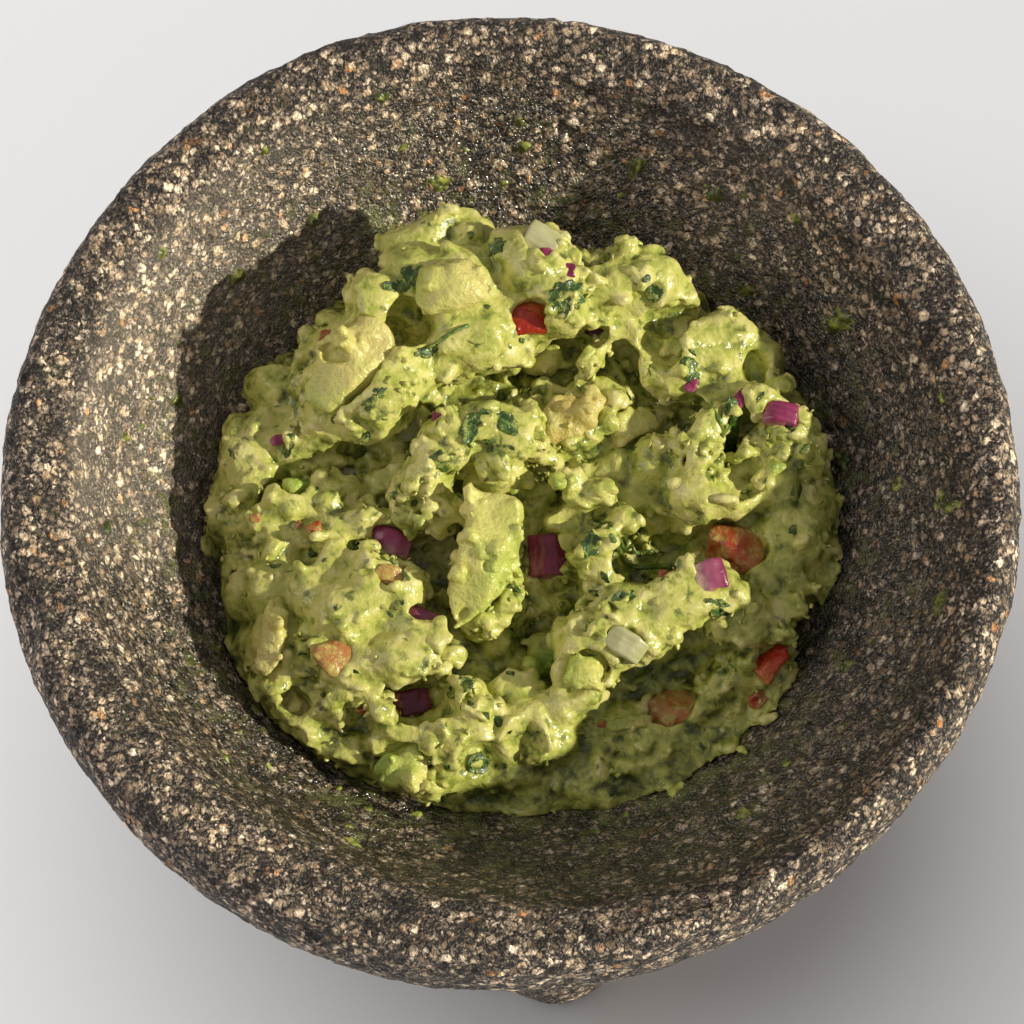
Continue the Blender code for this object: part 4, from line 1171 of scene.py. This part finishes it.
def flesh_piece(name, material, squareness, cuts, rounding, torn):
    """An avocado or tomato piece: a block with a flat top and blunt cuts, torn all over."""
    middle, halves, turn = box_of(piece_points(name))
    seed = sum(map(ord, name))
    chance = np.random.default_rng(seed)
    reach = halves.max() + 3.0
    clay = Clay(middle - reach, middle + reach, PIECE_SPACING)
    clay.warp([0.5 * clay.smooth_noise(8.0, seed + axis)
               + 0.35 * clay.smooth_noise(3.5, seed + 9 + axis) for axis in range(3)])
    clay.egg(middle, halves * 1.04, turn, squareness=squareness)
    for number in range(cuts):
        way = chance.normal(size=3)
        if number == 0:
            way = np.array((*chance.uniform(-0.35, 0.35, 2), 1.0))
        way = way / np.linalg.norm(way)
        limit = np.linalg.norm((way @ turn) * halves) * chance.uniform(0.62, 0.95)
        over = sum(place * part for place, part in zip(clay.place, way)) - way @ middle - limit
        share = np.clip(0.5 - 0.5 * (clay.outside - over) / rounding, 0.0, 1.0)
        clay.outside += (over - clay.outside) * share + rounding * share * (1.0 - share)
    clay.ragged = torn * blended(-0.3, 0.5, clay.smooth_noise(7.0, seed + 20))
    area = 4.0 * (halves[0] * halves[1] + halves[1] * halves[2] + halves[0] * halves[2])
    tear(clay, chance, int(0.03 * torn * area), int(0.03 * area), int(0.12 * torn * area))
    points, faces = clay.skin(0.15)
    mesh = mesh_of(name, points, faces)
    side = np.array((*chance.normal(size=2), 0.3))
    reach = (points - middle) @ (side / np.linalg.norm(side))
    paint(mesh, "skin_side", reach / np.abs(reach).max())
    paint(mesh, "kind", np.full(len(points), KINDS.get(name, 0.0)))
    return add_piece("cut_" + name, mesh, material, [name])


def onion_piece(name, material):
    """A dice of one onion layer: crisp cut edges, its skin side up, its faces a little uneven."""
    mesh = finished(name, joined(name), (
        "BEVEL", {"width": 0.5 * MM, "segments": 3, "limit_method": "ANGLE"}), (
        "SUBSURF", {"subdivision_type": "SIMPLE", "levels": 2, "render_levels": 2}))
    points, normals = points_of(mesh)
    middle = points.mean(axis=0)
    _, _, axes = np.linalg.svd(piece_points(name) - middle, full_matrices=False)
    thin = axes[2] * np.sign(axes[2][2])
    seed = sum(map(ord, name))
    push = 0.35 * bumps(points, 4.0, seed) + 0.12 * bumps(points, 1.5, seed + 1)
    points = points + normals * push[:, None]
    put_points(mesh, points)
    depth = (points - middle) @ thin
    paint(mesh, "skin_side", depth / np.abs(depth).max())
    paint(mesh, "across", 5.0 * (points - middle) @ axes[1])
    paint(mesh, "kind", np.full(len(points), KINDS.get(name, 0.0)))
    return add_piece("cut_" + name, mesh, material, [name])


# ---- scattered bits ----------------------------------------------------------------------
def bits_tree():
    """Scatters small bits over a surface that faces in, each crumpled in its own way."""
    tree = bpy.data.node_groups.new("bits on the mash", "GeometryNodeTree")
    for name, kind in (("Surface", "Geometry"), ("Where", "String"),
                       ("Number in a square mm", "Float"), ("Smallest", "Vector"),
                       ("Largest", "Vector"), ("Raised", "Float"), ("Tumble", "Vector"),
                       ("Crumple", "Float"), ("Tone", "Float"), ("Seed", "Int"),
                       ("Material", "Material")):
        tree.interface.new_socket(name, in_out="INPUT", socket_type="NodeSocket" + kind)
    tree.interface.new_socket("Bits", in_out="OUTPUT", socket_type="NodeSocketGeometry")
    given = add_node(tree, "NodeGroupInput").outputs
    share = add_node(tree, "GeometryNodeInputNamedAttribute", {"data_type": "FLOAT"}, {
        "Name": given["Where"]})
    density = add_node(tree, *TIMES, {0: share, 1: given["Number in a square mm"]})
    density = add_node(tree, "ShaderNodeMath", {"operation": "DIVIDE"}, {
        0: density, 1: MM ** 2})
    points = add_node(tree, "GeometryNodeDistributePointsOnFaces", inputs={
        "Mesh": given["Surface"], "Density": density, "Seed": given["Seed"]})
    rise = add_node(tree, *TIMES, {0: given["Raised"], 1: -MM})
    lift = add_node(tree, "ShaderNodeVectorMath", {"operation": "SCALE"}, {
        "Vector": points.outputs["Normal"], "Scale": rise})
    raised = add_node(tree, "GeometryNodeSetPosition", inputs={
        "Geometry": points.outputs["Points"], "Offset": lift})
    under = add_node(tree, "GeometryNodeInputNamedAttribute", {"data_type": "FLOAT"}, {
        "Name": "tone"})
    under = add_node(tree, *PLUS, {0: under, 1: given["Tone"]})
    tone = add_node(tree, "FunctionNodeRandomValue", {"data_type": "FLOAT"}, {
        2: -0.5, 3: 0.5, "Seed": given["Seed"]})
    tone = add_node(tree, *PLUS, {0: under, 1: tone})
    toned = add_node(tree, "GeometryNodeStoreNamedAttribute", {
        "data_type": "FLOAT", "domain": "POINT"}, {
        "Geometry": raised, "Name": "tone", "Value": tone})
    cube = add_node(tree, "GeometryNodeMeshCube", inputs={"Size": (MM, MM, MM)})
    round_bit = add_node(tree, "GeometryNodeSubdivisionSurface", inputs={
        "Mesh": cube, "Level": 1})
    size = add_node(tree, "FunctionNodeRandomValue", {"data_type": "FLOAT_VECTOR"}, {
        0: given["Smallest"], 1: given["Largest"], "Seed": given["Seed"]})
    placed = add_node(tree, "GeometryNodeInstanceOnPoints", inputs={
        "Points": toned, "Instance": round_bit, "Rotation": points.outputs["Rotation"],
        "Scale": size})
    lean = add_node(tree, "FunctionNodeRandomValue", {"data_type": "FLOAT_VECTOR"}, {
        0: (-1.0, -1.0, -1.0), 1: (1.0, 1.0, 1.0), "Seed": given["Seed"]})
    lean = add_node(tree, "ShaderNodeVectorMath", {"operation": "MULTIPLY"}, {
        0: lean, 1: given["Tumble"]})
    tumbled = add_node(tree, "GeometryNodeRotateInstances", inputs={
        "Instances": placed, "Rotation": lean})
    real = add_node(tree, "GeometryNodeRealizeInstances", inputs={"Geometry": tumbled})
    noise = add_node(tree, *NOISE, {
        "Vector": add_node(tree, "GeometryNodeInputPosition"), "Scale": 1.0 / (1.3 * MM),
        "Detail": 1.0})
    push = add_node(tree, "ShaderNodeVectorMath", {"operation": "SUBTRACT"}, {
        0: noise.outputs["Color"], 1: (0.5, 0.5, 0.5)})
    far = add_node(tree, *TIMES, {0: given["Crumple"], 1: 2.0 * MM})
    push = add_node(tree, "ShaderNodeVectorMath", {"operation": "SCALE"}, {
        "Vector": push, "Scale": far})
    crumpled = add_node(tree, "GeometryNodeSetPosition", inputs={
        "Geometry": real, "Offset": push})
    painted = add_node(tree, "GeometryNodeSetMaterial", inputs={
        "Geometry": crumpled, "Material": given["Material"]})
    add_node(tree, "NodeGroupOutput", inputs={"Bits": painted})
    return tree


def scatter(name, tree, surface, settings):
    """Scatters bits of one kind over a piece's surface, as one mesh."""
    identifiers = {item.name: item.identifier for item in tree.interface.items_tree
                   if item.in_out == "INPUT"}
    inputs = {identifiers[setting]: value for setting, value in settings.items()}
    mesh = finished(name, surface.data.copy(), ("NODES", {"node_group": tree, **inputs}))
    return add_piece(name, mesh, settings["Material"])


# ---- small things laid one by one ---------------------------------------------------------
# Torn cilantro on the mash: x, y, width, depth, turn, mm and degrees.
LEAVES = (
    (11.1, 37.7, 6, 4.8, 25), (-19.3, 42.8, 4.6, 3.6, 60), (-22.1, 40.6, 4, 2.2, 10),
    (-7.6, 11.7, 4.4, 3.2, 70), (-0.2, 12.7, 4.2, 3, -30), (-4.6, -7.8, 8.4, 2.6, -38),
    (36.3, 26.9, 3.4, 4.2, 20), (16, -9.8, 3.6, 3, 75), (2.2, -16.8, 3, 1.8, 0),
    (-9.6, -36.2, 4.4, 3, 15), (-6.1, -49.8, 3.6, 2.6, 50), (44.2, 16.2, 3.4, 6, -10),
    (-13.5, 5.5, 3.2, 2.4, 40), (18.5, -4.5, 3.4, 2.2, -60), (-44, 12.5, 2.8, 2, 30),
    (22.5, -20, 3, 2.2, 10), (-30, -8.5, 3.2, 2.2, -20), (12.5, -19.5, 2.6, 2, 0),
    (50, 6, 3.2, 2.4, 45), (29, 41, 2.8, 2, -40), (-26.5, 17.5, 4.4, 2, 35),
    (-16, 28.5, 4.6, 1.6, 22), (41, -21.5, 3.4, 2.4, 0), (-2.5, 49.5, 3, 2.4, 15),
)
# Stems: the ends and a bend between them as x, y, and the thickness, mm.
STEMS = (
    ((20, -9.5), (26, -7.6), (33, -9), 1.1), ((21, -6.6), (27, -5.6), (31, -5.9), 0.8),
    ((-23, -12.5), (-21, -14.5), (-19.5, -17), 0.8), ((-16.5, 29), (-12, 30.8), (-8, 33), 0.8),
    ((-10, 1), (-6.5, -2), (-3.5, -5.5), 0.9), ((40, 19), (42, 16), (43, 12.5), 0.8),
)
# Small bits by kind: x, y, half sizes, turn, mm and degrees.
SMALL_BITS = {
    "chili_bits": ((-38.6, -5, 1.6, 1.1, 0.7, 20), (-42, -3.3, 1, 0.7, 0.6, 70),
                   (-28.5, -40, 1.7, 0.9, 0.7, 10), (30.6, -14.1, 1.1, 1.5, 0.7, 0),
                   (18.5, -41.3, 0.8, 0.7, 0.5, 0), (-36.6, 33.5, 1.4, 2, 0.8, -20),
                   (49.4, -36, 1.8, 1.4, 0.9, 30), (-50.5, -2, 1.1, 0.9, 0.6, 0)),
    "onion_bits": ((7.3, 46.6, 1.6, 1.2, 0.8, 25), (25.5, 20, 2.3, 2.6, 0.9, 15),
                   (36.4, 24.5, 1.4, 1.1, 0.8, 60), (-14, 15.5, 1.2, 1.6, 0.8, 0),
                   (-46, 14, 1.6, 1, 0.7, 20), (12, 43.5, 1.2, 1.7, 0.8, 10),
                   (46, 20.5, 1.3, 1.8, 0.8, -30), (-41, 6, 1.7, 1.1, 0.7, 0)),
    "pale_bits": ((24, -41, 4.2, 1.3, 1, 8), (13, 46.8, 1.4, 1.9, 1, 0),
                  (51.5, 6.5, 1.5, 3.6, 1.2, -50), (15.5, 30, 2.4, 1, 0.9, 60),
                  (-28, 1.5, 1.6, 2.4, 1, 10), (19, 2.5, 2.2, 1.5, 1.2, 15),
                  (10.5, 4, 2.6, 1.8, 1.3, 30), (33, 33, 2.4, 2, 1.4, 0)),
}
# How smeared the chili is, and how pale the onion and how tan the avocado.
BIT_KINDS = {"chili_bits": 0.35, "onion_bits": 0.2, "pale_bits": 0.2}
# Smears on the wall: x, y, width round the bowl, height up it, thickness, turn.
SMEARS = (
    (66.6, 38.6, 4.5, 8.5, 1.1, 15), (41.9, 65.6, 5, 4, 0.9, 0),
    (58.4, 57.9, 3, 2.4, 0.7, 30), (48.4, 48.9, 4.4, 3, 0.9, 0),
    (-14.2, 71.3, 5.5, 3.2, 0.8, 10), (-54.7, 49.5, 4, 3.4, 0.8, 0),
    (-79.2, -6.5, 2.8, 2.2, 0.7, 0), (66.8, 13.1, 3.6, 3, 0.9, 0),
    (83.1, -4.5, 3, 5.2, 0.8, 25), (81.9, -2.6, 2, 4.4, 0.7, -35),
    (79.6, -22.8, 4.6, 3.6, 1, 0), (87.7, -2.5, 2.6, 2, 0.6, 0),
    (84.3, 15.6, 2.4, 3.2, 0.5, 40), (18.2, 88.5, 2, 1.6, 0.6, 0),
    (66, -31.9, 3, 2.2, 0.8, 0), (17.7, -67.5, 2.4, 2, 0.7, 0),
    (-66.5, 24.7, 4, 3, 0.8, 0), (-69.4, 48.4, 2.6, 2.2, 0.6, 0),
    (-25, 81.1, 3.6, 2.4, 0.7, 20), (74, -46.7, 2.8, 2.2, 0.7, 0),
    (2.3, 76.6, 4.2, 2.6, 0.8, -10), (-40, 62, 3.4, 2.6, 0.7, 0),
    (26, 72, 3.4, 5.4, 0.8, 10), (-55, -52, 3, 2.4, 0.7, 0),
    (-30, -68, 3.6, 2, 0.7, 0), (44, -62, 3.2, 2.4, 0.8, 0),
)
# What is laid on stays under this corner, mm: just below the lip's top.
HIGHEST = (OUTER_RADIUS, OUTER_RADIUS, HEIGHT - 0.1)
LEAF_GRID = 15             # points along each side of a leaf
LEAF_THICKNESS = 0.25
LEAF_SPREAD = 1.25         # leaves are torn in at the edge, so they start wider
STEM_RINGS, STEM_SIDES = 14, 8
DROPS = 45                 # drops of mash thrown up the wall
SMEAR_TONE, SMEAR_FOLD = -1.2, 0.62     # thin mash on stone looks dark, and its fold value adds a little painted shade


def closed_sheet(upper, lower, side):
    """Points and triangles of a closed sheet from two square grids, its upper side out."""
    count = side * side
    corner = (np.arange(side - 1)[:, None] * side + np.arange(side - 1)).ravel()
    top = np.concatenate([
        np.column_stack([corner, corner + 1, corner + side + 1]),
        np.column_stack([corner, corner + side + 1, corner + side])])
    edge = np.concatenate([
        np.arange(side), np.arange(2 * side - 1, count, side),
        np.arange(count - 2, count - side - 1, -1), np.arange(count - 2 * side, 0, -side)])
    after = np.roll(edge, -1)
    rim = np.concatenate([np.column_stack([edge, edge + count, after + count]),
                          np.column_stack([edge, after + count, after])])
    return np.concatenate([upper, lower]), np.concatenate([top, top[:, ::-1] + count, rim])


def together(name, parts):
    """One mesh from several (points, triangles), none of it over the lip's top."""
    parts = [(np.minimum(points, HIGHEST), faces) for points, faces in parts]
    starts = np.cumsum([0] + [len(points) for points, _ in parts[:-1]])
    return mesh_of(name, np.concatenate([points for points, _ in parts]),
                   np.concatenate([faces + start for (_, faces), start in zip(parts, starts)]))


def torn_leaf(clay, x, y, wide, deep, turn, chance):
    """A torn leaf and its ribs: it half follows the mash under it, and its edge curls."""
    side = np.linspace(-1.0, 1.0, LEAF_GRID)
    across, along = (grid.ravel() for grid in np.meshgrid(side, side))
    reach = np.maximum(np.abs(across), np.abs(along))
    bearing = np.arctan2(along, across)
    wide, deep = LEAF_SPREAD * wide, LEAF_SPREAD * deep
    shifts = chance.uniform(0.0, 2.0 * pi, 3)
    sizes = chance.uniform(0.0, 1.0, 3) * (0.3, 0.2, 0.15)
    lobes = 1.0 + sizes[0] * np.cos(2 * bearing + shifts[0]) + sizes[1] * np.cos(
        5 * bearing + shifts[1]) + sizes[2] * np.cos(9 * bearing + shifts[2])
    u = 0.5 * wide * reach * lobes * np.cos(bearing)
    v = 0.5 * deep * reach * lobes * np.sin(bearing)
    east = x + u * cos(radians(turn)) - v * sin(radians(turn))
    north = y + u * sin(radians(turn)) + v * cos(radians(turn))
    under = clay.top_of(east, north)
    flat = np.column_stack([np.ones_like(u), u, v])
    plane = flat @ np.linalg.lstsq(flat, under, rcond=None)[0]
    height = 0.5 * under + 0.5 * plane
    height += 0.2 + 0.1 * np.clip(under - height, 0.0, 2.0).max() + 0.6 * reach ** 2 * bumps(
        np.column_stack([east, north, height]), 2.5, 7)
    upper = np.column_stack([east, north, height])
    rib = np.exp(-(v / (0.07 * deep)) ** 2) + 0.5 * np.exp(
        -(np.mod(np.abs(u) + np.abs(v), 1.1) / 0.18) ** 2)
    return closed_sheet(upper, upper - (0.0, 0.0, LEAF_THICKNESS), LEAF_GRID), np.tile(rib, 2)


def stem(clay, start, bend, end, thick, chance):
    """A piece of stem as a tube with closed ends, lying on the mash."""
    part = np.linspace(0.0, 1.0, STEM_RINGS)[:, None]
    line = ((1 - part) ** 2 * np.array(start) + 2 * part * (1 - part) * np.array(bend)
            + part ** 2 * np.array(end))
    height = clay.top_of(line[:, 0], line[:, 1])
    fit = np.polyfit(part.ravel(), height, 3)
    height = 0.75 * np.polyval(fit, part.ravel()) + 0.25 * height + 0.35 * thick
    centre = np.column_stack([line, height])
    way = np.gradient(centre, axis=0)
    side = np.cross(way, (0.0, 0.0, 1.0))
    side /= np.linalg.norm(side, axis=1)[:, None]
    over = np.cross(side, way)
    over /= np.linalg.norm(over, axis=1)[:, None]
    turns = np.linspace(0.0, 2.0 * pi, STEM_SIDES, endpoint=False)
    radius = 0.5 * thick * (1.0 + 0.12 * chance.normal(size=(STEM_RINGS, 1, 1)))
    rings = centre[:, None] + radius * (side[:, None] * np.cos(turns)[None, :, None]
                                        + over[:, None] * np.sin(turns)[None, :, None])
    points = np.concatenate([rings.reshape(-1, 3), centre[:1], centre[-1:]])
    first = np.arange(STEM_SIDES)
    ring = np.arange(0, (STEM_RINGS - 1) * STEM_SIDES, STEM_SIDES)[:, None]
    low, nearby = (ring + first).ravel(), (ring + np.roll(first, -1)).ravel()
    last = ring[-1] + STEM_SIDES + first
    tip = np.full(STEM_SIDES, STEM_RINGS * STEM_SIDES)
    faces = np.concatenate([
        np.column_stack([low, low + STEM_SIDES, nearby + STEM_SIDES]),
        np.column_stack([low, nearby + STEM_SIDES, nearby]),
        np.column_stack([tip, first, np.roll(first, -1)]),
        np.column_stack([tip + 1, np.roll(last, -1), last])])
    return points, faces


def small_bit(clay, ball, x, y, halves, turn, chance):
    """A small chopped bit, half sunk in the mash: blocky, with soft corners."""
    points, faces = ball
    block = points / (np.abs(points) ** 4).sum(axis=1)[:, None] ** 0.25
    block = block * halves
    block = block + points * 0.6 * min(halves) * bumps(
        block + chance.uniform(0, 99, 3), 1.1 * min(halves) + 0.4, 8)[:, None]
    lean = np.array(turned(turn, chance.uniform(-25, 25), chance.uniform(-25, 25)))
    high = float(clay.top_of(x, y))
    return (block @ lean.T + (x, y, high - 0.15 * halves[2]), faces)


def wall_height(radius):
    """Height of the hollow's wall, and of the lip past its top, at a radius."""
    part = np.clip((CREST_RADIUS - radius) / (CREST_RADIUS - WALL_TOP_RADIUS), 0.0, 1.0)
    return np.where(radius < WALL_TOP_RADIUS, wall_z(np.minimum(radius, WALL_TOP_RADIUS)),
                    HEIGHT - (HEIGHT - WALL_TOP_Z) * part ** LIP_ROUNDING)


def smear(x, y, wide, high, thick, turn, seed, count=17):
    """A smear of mash on the wall: a low closed mound whose edges run out in the stone."""
    side = np.linspace(-1.35, 1.35, count)
    u, v = np.meshgrid(side, side)
    across = 0.5 * (wide * u * cos(radians(turn)) - high * v * sin(radians(turn))).ravel()
    along = 0.5 * (wide * u * sin(radians(turn)) + high * v * cos(radians(turn))).ravel()
    radius = np.hypot(x, y)
    slope = wall_slope(min(radius, WALL_TOP_RADIUS))
    bearing = np.arctan2(y, x) + across / radius
    radius = np.minimum(radius + along / sqrt(1.0 + slope ** 2), CREST_RADIUS)
    height = wall_height(radius)
    reach = carved(radius, height, bearing, True)
    foot = np.column_stack([reach * np.cos(bearing), reach * np.sin(bearing), height])
    slope = np.where(radius < WALL_TOP_RADIUS, wall_slope(radius), 0.4)
    out = np.column_stack([-slope * np.cos(bearing), -slope * np.sin(bearing),
                           np.ones_like(slope)]) / np.sqrt(1.0 + slope ** 2)[:, None]
    stone = -stone_relief(foot)
    mound = thick * (0.7 - 0.8 * (u ** 2 + v ** 2).ravel()) + 0.9 * thick * bumps(
        foot, 2.0, seed) + 0.35 * bumps(foot, 0.9, seed + 1)
    mound = np.clip(stone + mound, stone - 0.9, 0.4)
    points, faces = closed_sheet(
        foot + out * mound[:, None], foot + out * (stone - 1.3)[:, None], count)
    return points, faces[:, ::-1]


def lay_leaves(clay, material):
    chance = np.random.default_rng(LEAF_SEED)
    laid = [torn_leaf(clay, *leaf, chance) for leaf in LEAVES]
    leaves = together("cilantro_leaves", [sheet for sheet, _ in laid])
    paint(leaves, "kind", np.concatenate([rib for _, rib in laid]))
    add_piece("cilantro_leaves", leaves, material)
    stems = together("cilantro_stems", [stem(clay, *row, chance) for row in STEMS])
    paint(stems, "kind", np.full(len(stems.vertices), 0.9))
    add_piece("cilantro_stems", stems, material)


def lay_bits(clay, materials):
    chance = np.random.default_rng(BIT_SEED)
    form = bmesh.new()
    bmesh.ops.create_icosphere(form, subdivisions=3, radius=1.0)
    ball = (np.array([point.co for point in form.verts]),
            np.array([[corner.index for corner in face.verts] for face in form.faces]))
    form.free()
    for name, rows in SMALL_BITS.items():
        bits = [small_bit(clay, ball, x, y, halves, turn, chance)
                for x, y, *halves, turn in rows]
        mesh = together(name, bits)
        heights = np.concatenate([points[:, 2] - points[:, 2].mean() for points, _ in bits])
        paint(mesh, "skin_side", heights)
        paint(mesh, "across", np.zeros(len(heights)))
        paint(mesh, "kind", np.full(len(heights), BIT_KINDS[name]))
        add_piece(name, mesh, materials[name])


def lay_smears(material):
    """The smears, and drops of mash that the pestle threw up the wall near the mash."""
    chance = np.random.default_rng(DROP_SEED)
    parts = [smear(*row, 60 + number) for number, row in enumerate(SMEARS)]
    for number in range(DROPS):
        bearing = chance.uniform(-pi, pi)
        radius = shore_radius(bearing) + 1.5 + chance.exponential(5.5)
        if radius < 90.0:
            size = chance.uniform(0.6, 2.2)
            parts.append(smear(radius * cos(bearing), radius * sin(bearing), size,
                               size * chance.uniform(0.7, 1.6), chance.uniform(0.35, 0.6),
                               chance.uniform(0, 180), 100 + number, 8))
    mesh = together("wall_smears", parts)
    paint(mesh, "tone", np.full(len(mesh.vertices), SMEAR_TONE))
    paint(mesh, "fold", np.full(len(mesh.vertices), SMEAR_FOLD))
    add_piece("wall_smears", mesh, material)


# ---- the room and its light ---------------------------------------------------------------
def aim(item, target):
    """Turns a light or camera to look at a point."""
    way = Vector(target) - item.location
    item.rotation_mode = "QUATERNION"
    item.rotation_quaternion = way.to_track_quat("-Z", "Y")


def add_camera():
    """The diner's view: from the near side, steeply down, through a long lens."""
    camera = bpy.data.objects.new("camera", bpy.data.cameras.new("camera"))
    camera.data.sensor_width = 36.0
    camera.data.lens = 135.5
    camera.location = (0.0006, -0.2580, 0.8125)
    camera.rotation_euler = (radians(90.0 - 70.38), 0.0, 0.0)
    camera.data.clip_start = 0.05
    bpy.context.scene.collection.objects.link(camera)
    bpy.context.scene.camera = camera


def add_light(name, kind, energy, colour, location, target, **settings):
    light = bpy.data.lights.new(name, kind)
    light.energy = energy
    light.color = linear(colour)[:3]
    for setting, value in settings.items():
        setattr(light, setting, value)
    item = bpy.data.objects.new(name, light)
    item.location = location
    aim(item, target)
    bpy.context.scene.collection.objects.link(item)
    return item


def add_room():
    """A pale floor, a low crisp key light from the right, and a weak soft fill."""
    scene = bpy.context.scene
    floor_mesh = bpy.data.meshes.new("floor")
    half = 3.0
    floor_mesh.from_pydata([(-half, -half, 0), (half, -half, 0), (half, half, 0),
                            (-half, half, 0)], [], [(0, 1, 2, 3)])
    floor = bpy.data.objects.new("floor", floor_mesh)
    scene.collection.objects.link(floor)
    material, _, shader, _ = new_material("pale matt floor")
    shader.inputs["Base Color"].default_value = linear("#e8eae9")
    shader.inputs["Roughness"].default_value = 0.6
    floor_mesh.materials.append(material)
    target = (0.0, 0.0, 0.09)
    azimuth, elevation, away = radians(-11.0), radians(27.0), 3.0
    location = (away * cos(elevation) * cos(azimuth), away * cos(elevation) * sin(azimuth),
                target[2] + away * sin(elevation))
    key = add_light("key", "SUN", 4.05, "#fff9e6", location, target, angle=radians(1.6))
    fill = add_light("fill", "AREA", 7.5, "#f8eee8", (-1.3, 0.0, 0.8), target,
                     shape="DISK", size=1.2)
    over_floor = add_light("floor light", "AREA", 65.0, "#fffdfb", (-0.8, 0.8, 2.2),
                           (0.0, 0.0, 0.0), shape="DISK", size=3.4)
    group = bpy.data.collections.new("the floor alone")
    group.objects.link(floor)
    over_floor.light_linking.receiver_collection = group
    others = bpy.data.collections.new("all but the floor")
    others.objects.link(floor)
    others.collection_objects[0].light_linking.link_state = "EXCLUDE"
    key.light_linking.receiver_collection = others
    fill.light_linking.receiver_collection = others
    world = bpy.data.worlds.new("room")
    scene.world = world
    world.use_nodes = True
    world.node_tree.nodes["Background"].inputs["Color"].default_value = linear("#f1eaed")
    world.node_tree.nodes["Background"].inputs["Strength"].default_value = 0.34
    scene.view_settings.view_transform = "Standard"
    scene.cycles.max_bounces = 4
    scene.cycles.diffuse_bounces = 2
    scene.cycles.glossy_bounces = 2
    scene.cycles.transmission_bounces = 0
    scene.cycles.caustics_reflective = False
    scene.cycles.caustics_refractive = False


# Pieces that the mash laps round, so that only their top shows.
FLUSH_PIECES = ("tomato_near_left", "tomato_left", "tomato_left_middle",
                "red_onion_near_left", "avocado_near_left_slab", "avocado_left_slab")
PIECE_PREFIXES = ("avocado", "tomato", "red_onion", "white_onion")


def baring(name):
    """How a piece is bared: the lift and share of its room, and steps up; see clear_over."""
    if name in FLUSH_PIECES:
        return 0.9, 0.85, 1
    return (0.3, 0.95, 1) if name.startswith("avocado") else (0.45, 0.95, 2)


add_camera()
add_room()
basalt = vesicular_basalt()
stone_bowl(basalt)
stone_legs(basalt)
mash_piece, clay = mash(crushed_avocado(), [
    (piece_points(name), *baring(name))
    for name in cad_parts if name.startswith(PIECE_PREFIXES)])
avocado, tomato = cut_avocado(), ripe_tomato()
red_onion, white_onion = red_onion_layer(), white_onion_layer()
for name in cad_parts:
    if name.startswith("avocado"):
        flesh_piece(name, avocado, squareness=3.2, cuts=9, rounding=0.8, torn=0.8)
    elif name.startswith("tomato"):
        flesh_piece(name, tomato, squareness=6.0, cuts=4, rounding=0.4, torn=0.3)
    elif name.startswith("red_onion"):
        onion_piece(name, red_onion)
    elif name.startswith("white_onion"):
        onion_piece(name, white_onion)
tree = bits_tree()
herb = cilantro()
scatter("torn_bits", tree, mash_piece, {
    "Where": "torn", "Number in a square mm": 0.04, "Smallest": (0.9, 0.6, 0.5),
    "Largest": (2.6, 1.6, 1.2), "Raised": 0.3, "Tumble": (3.1, 3.1, 3.1), "Crumple": 0.9,
    "Tone": 0.1, "Seed": 1, "Material": mash_piece.data.materials[0]})
scatter("chopped_herb", tree, mash_piece, {
    "Where": "bare", "Number in a square mm": 0.006, "Smallest": (1.0, 0.6, 0.16),
    "Largest": (4.2, 2.2, 0.22), "Raised": 0.15, "Tumble": (0.35, 0.35, 3.1), "Crumple": 0.8,
    "Tone": 0.0, "Seed": 3, "Material": herb})
mash_piece.data.flip_normals()      # it faces out from here on
lay_leaves(clay, herb)
lay_bits(clay, {"chili_bits": tomato, "onion_bits": red_onion, "pale_bits": avocado})
lay_smears(mash_piece.data.materials[0])
